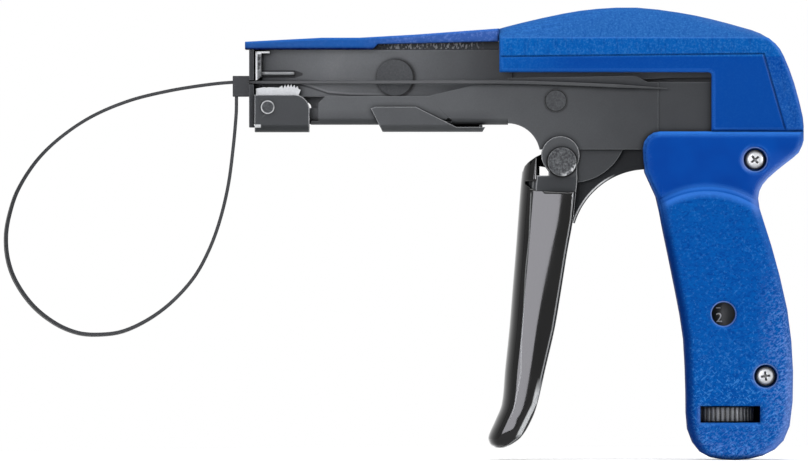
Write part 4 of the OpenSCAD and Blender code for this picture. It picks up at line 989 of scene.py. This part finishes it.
make_coil("tension_coil", "tension_spring", 2, 1.2, 9, "sleeve", True)
make_coil("return_coil", "return_spring", 0, 0.7, 12, "frame", False)


# Studio

scene = bpy.context.scene
scene.view_settings.view_transform = "Standard"
CENTRE = Vector((49.9, 0, -48.1)) * MM
CAMERA_FAR, VIEW_WIDTH, SENSOR = 5.0, 0.26065, 36
PAPER_HALF = 1.2
WHITE = (1, 1, 1)

lens = bpy.data.cameras.new("camera")
lens.sensor_width = SENSOR
lens.lens = SENSOR * CAMERA_FAR / VIEW_WIDTH
lens.clip_end = 50
camera = bpy.data.objects.new("camera", lens)
camera.location = CENTRE + Vector((0, -CAMERA_FAR, 0))
camera.rotation_euler = (math.radians(90), 0, 0)
scene.collection.objects.link(camera)
scene.camera = camera


def area(name, offset, size, power, tint=WHITE):
    """A lamp at an offset in metres from the picture's centre, aimed at it."""
    lamp = bpy.data.lights.new(name, "AREA")
    lamp.shape = "RECTANGLE"
    lamp.size, lamp.size_y = size
    lamp.energy = power
    lamp.color = tint
    obj = bpy.data.objects.new(name, lamp)
    scene.collection.objects.link(obj)
    obj.location = CENTRE + Vector(offset)
    obj.rotation_euler = (CENTRE - obj.location).to_track_quat("-Z", "Y").to_euler()
    return obj


# The side lamps light the faces, and two panels beside them show in the gloss alone
area("top", (0, -0.25, 1.3), (1.0, 0.6), 16)
area("left", (-0.42, -1.44, 0), (0.62, 1.0), 10).visible_glossy = False
area("right", (1.25, -1.05, 0.1), (0.35, 0.9), 5).visible_glossy = False
area("panel", (-0.395, -1.42, 0), (0.65, 1.0), 28, (0.94, 0.93, 1)).visible_diffuse = False
area("streak", (1.2, -1.0, 0), (0.45, 0.9), 55, (0.97, 0.97, 1)).visible_diffuse = False


def seen_directly(tree):
    """1 for camera, glossy and transmission rays, 0 for the rest."""
    path = add(tree, "ShaderNodeLightPath")
    seen = path.outputs["Is Camera Ray"]
    for name in ("Is Glossy Ray", "Is Transmission Ray"):
        seen = add(tree, "ShaderNodeMath", {0: seen, 1: path.outputs[name]}, operation="MAXIMUM").outputs[0]
    return seen


# White where it is seen directly, a softer light for the rest
world = bpy.data.worlds.new("studio")
scene.world = world
world.use_nodes = True
tree = world.node_tree
tree.nodes.clear()
soft = add(tree, "ShaderNodeBackground", {"Color": WHITE, "Strength": 0.4})
white = add(tree, "ShaderNodeBackground", {"Color": WHITE, "Strength": 1.0})
mixer = add(tree, "ShaderNodeMixShader", {0: seen_directly(tree), 1: soft.outputs[0], 2: white.outputs[0]})
add(tree, "ShaderNodeOutputWorld", {0: mixer.outputs[0]})

# Paper under the tool, which runs out into the white of the backdrop away from it
floor_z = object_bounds()[0][2]
plane = bpy.data.meshes.new("floor")
corners = [(CENTRE.x + u * PAPER_HALF, v * PAPER_HALF, floor_z) for u, v in ((-1, -1), (1, -1), (1, 1), (-1, 1))]
plane.from_pydata(corners, [], [(0, 1, 2, 3)])
floor = bpy.data.objects.new("floor", plane)
scene.collection.objects.link(floor)
paper = bpy.data.materials.new("paper")
paper.use_nodes = True
tree = paper.node_tree
fine = add(tree, "ShaderNodeTexNoise", {"Scale": 600})
tone = add(tree, "ShaderNodeValToRGB", {0: fine.outputs["Fac"]})
for stop, v in zip(tone.color_ramp.elements, (0.86, 0.93)):
    stop.color = (v, v, v, 1)
seen = seen_directly(tree)
lift = add(tree, "ShaderNodeMath", {0: seen, 1: 0.35}, operation="MULTIPLY")
face = tree.nodes["Principled BSDF"]
for key, value in (("Base Color", tone.outputs[0]), ("Roughness", 0.9), ("Specular IOR Level", 0.1),
                   ("Emission Color", WHITE), ("Emission Strength", lift.outputs[0])):
    put(tree, face.inputs[key], value)
spot = add(tree, "ShaderNodeNewGeometry").outputs["Position"]
reach = add(tree, "ShaderNodeVectorMath", {0: spot, 1: (0.15, 0, floor_z)}, operation="DISTANCE").outputs["Value"]
run = add(tree, "ShaderNodeMapRange", {"Value": reach, "From Min": 0.06, "From Max": 0.3})
share = add(tree, "ShaderNodeMath", {0: run.outputs[0], 1: seen}, operation="MULTIPLY")
glow = add(tree, "ShaderNodeEmission", {"Color": WHITE, "Strength": 1.0})
blend = add(tree, "ShaderNodeMixShader", {0: share.outputs[0], 1: face.outputs[0], 2: glow.outputs[0]})
put(tree, tree.nodes["Material Output"].inputs[0], blend.outputs[0])
plane.materials.append(paper)
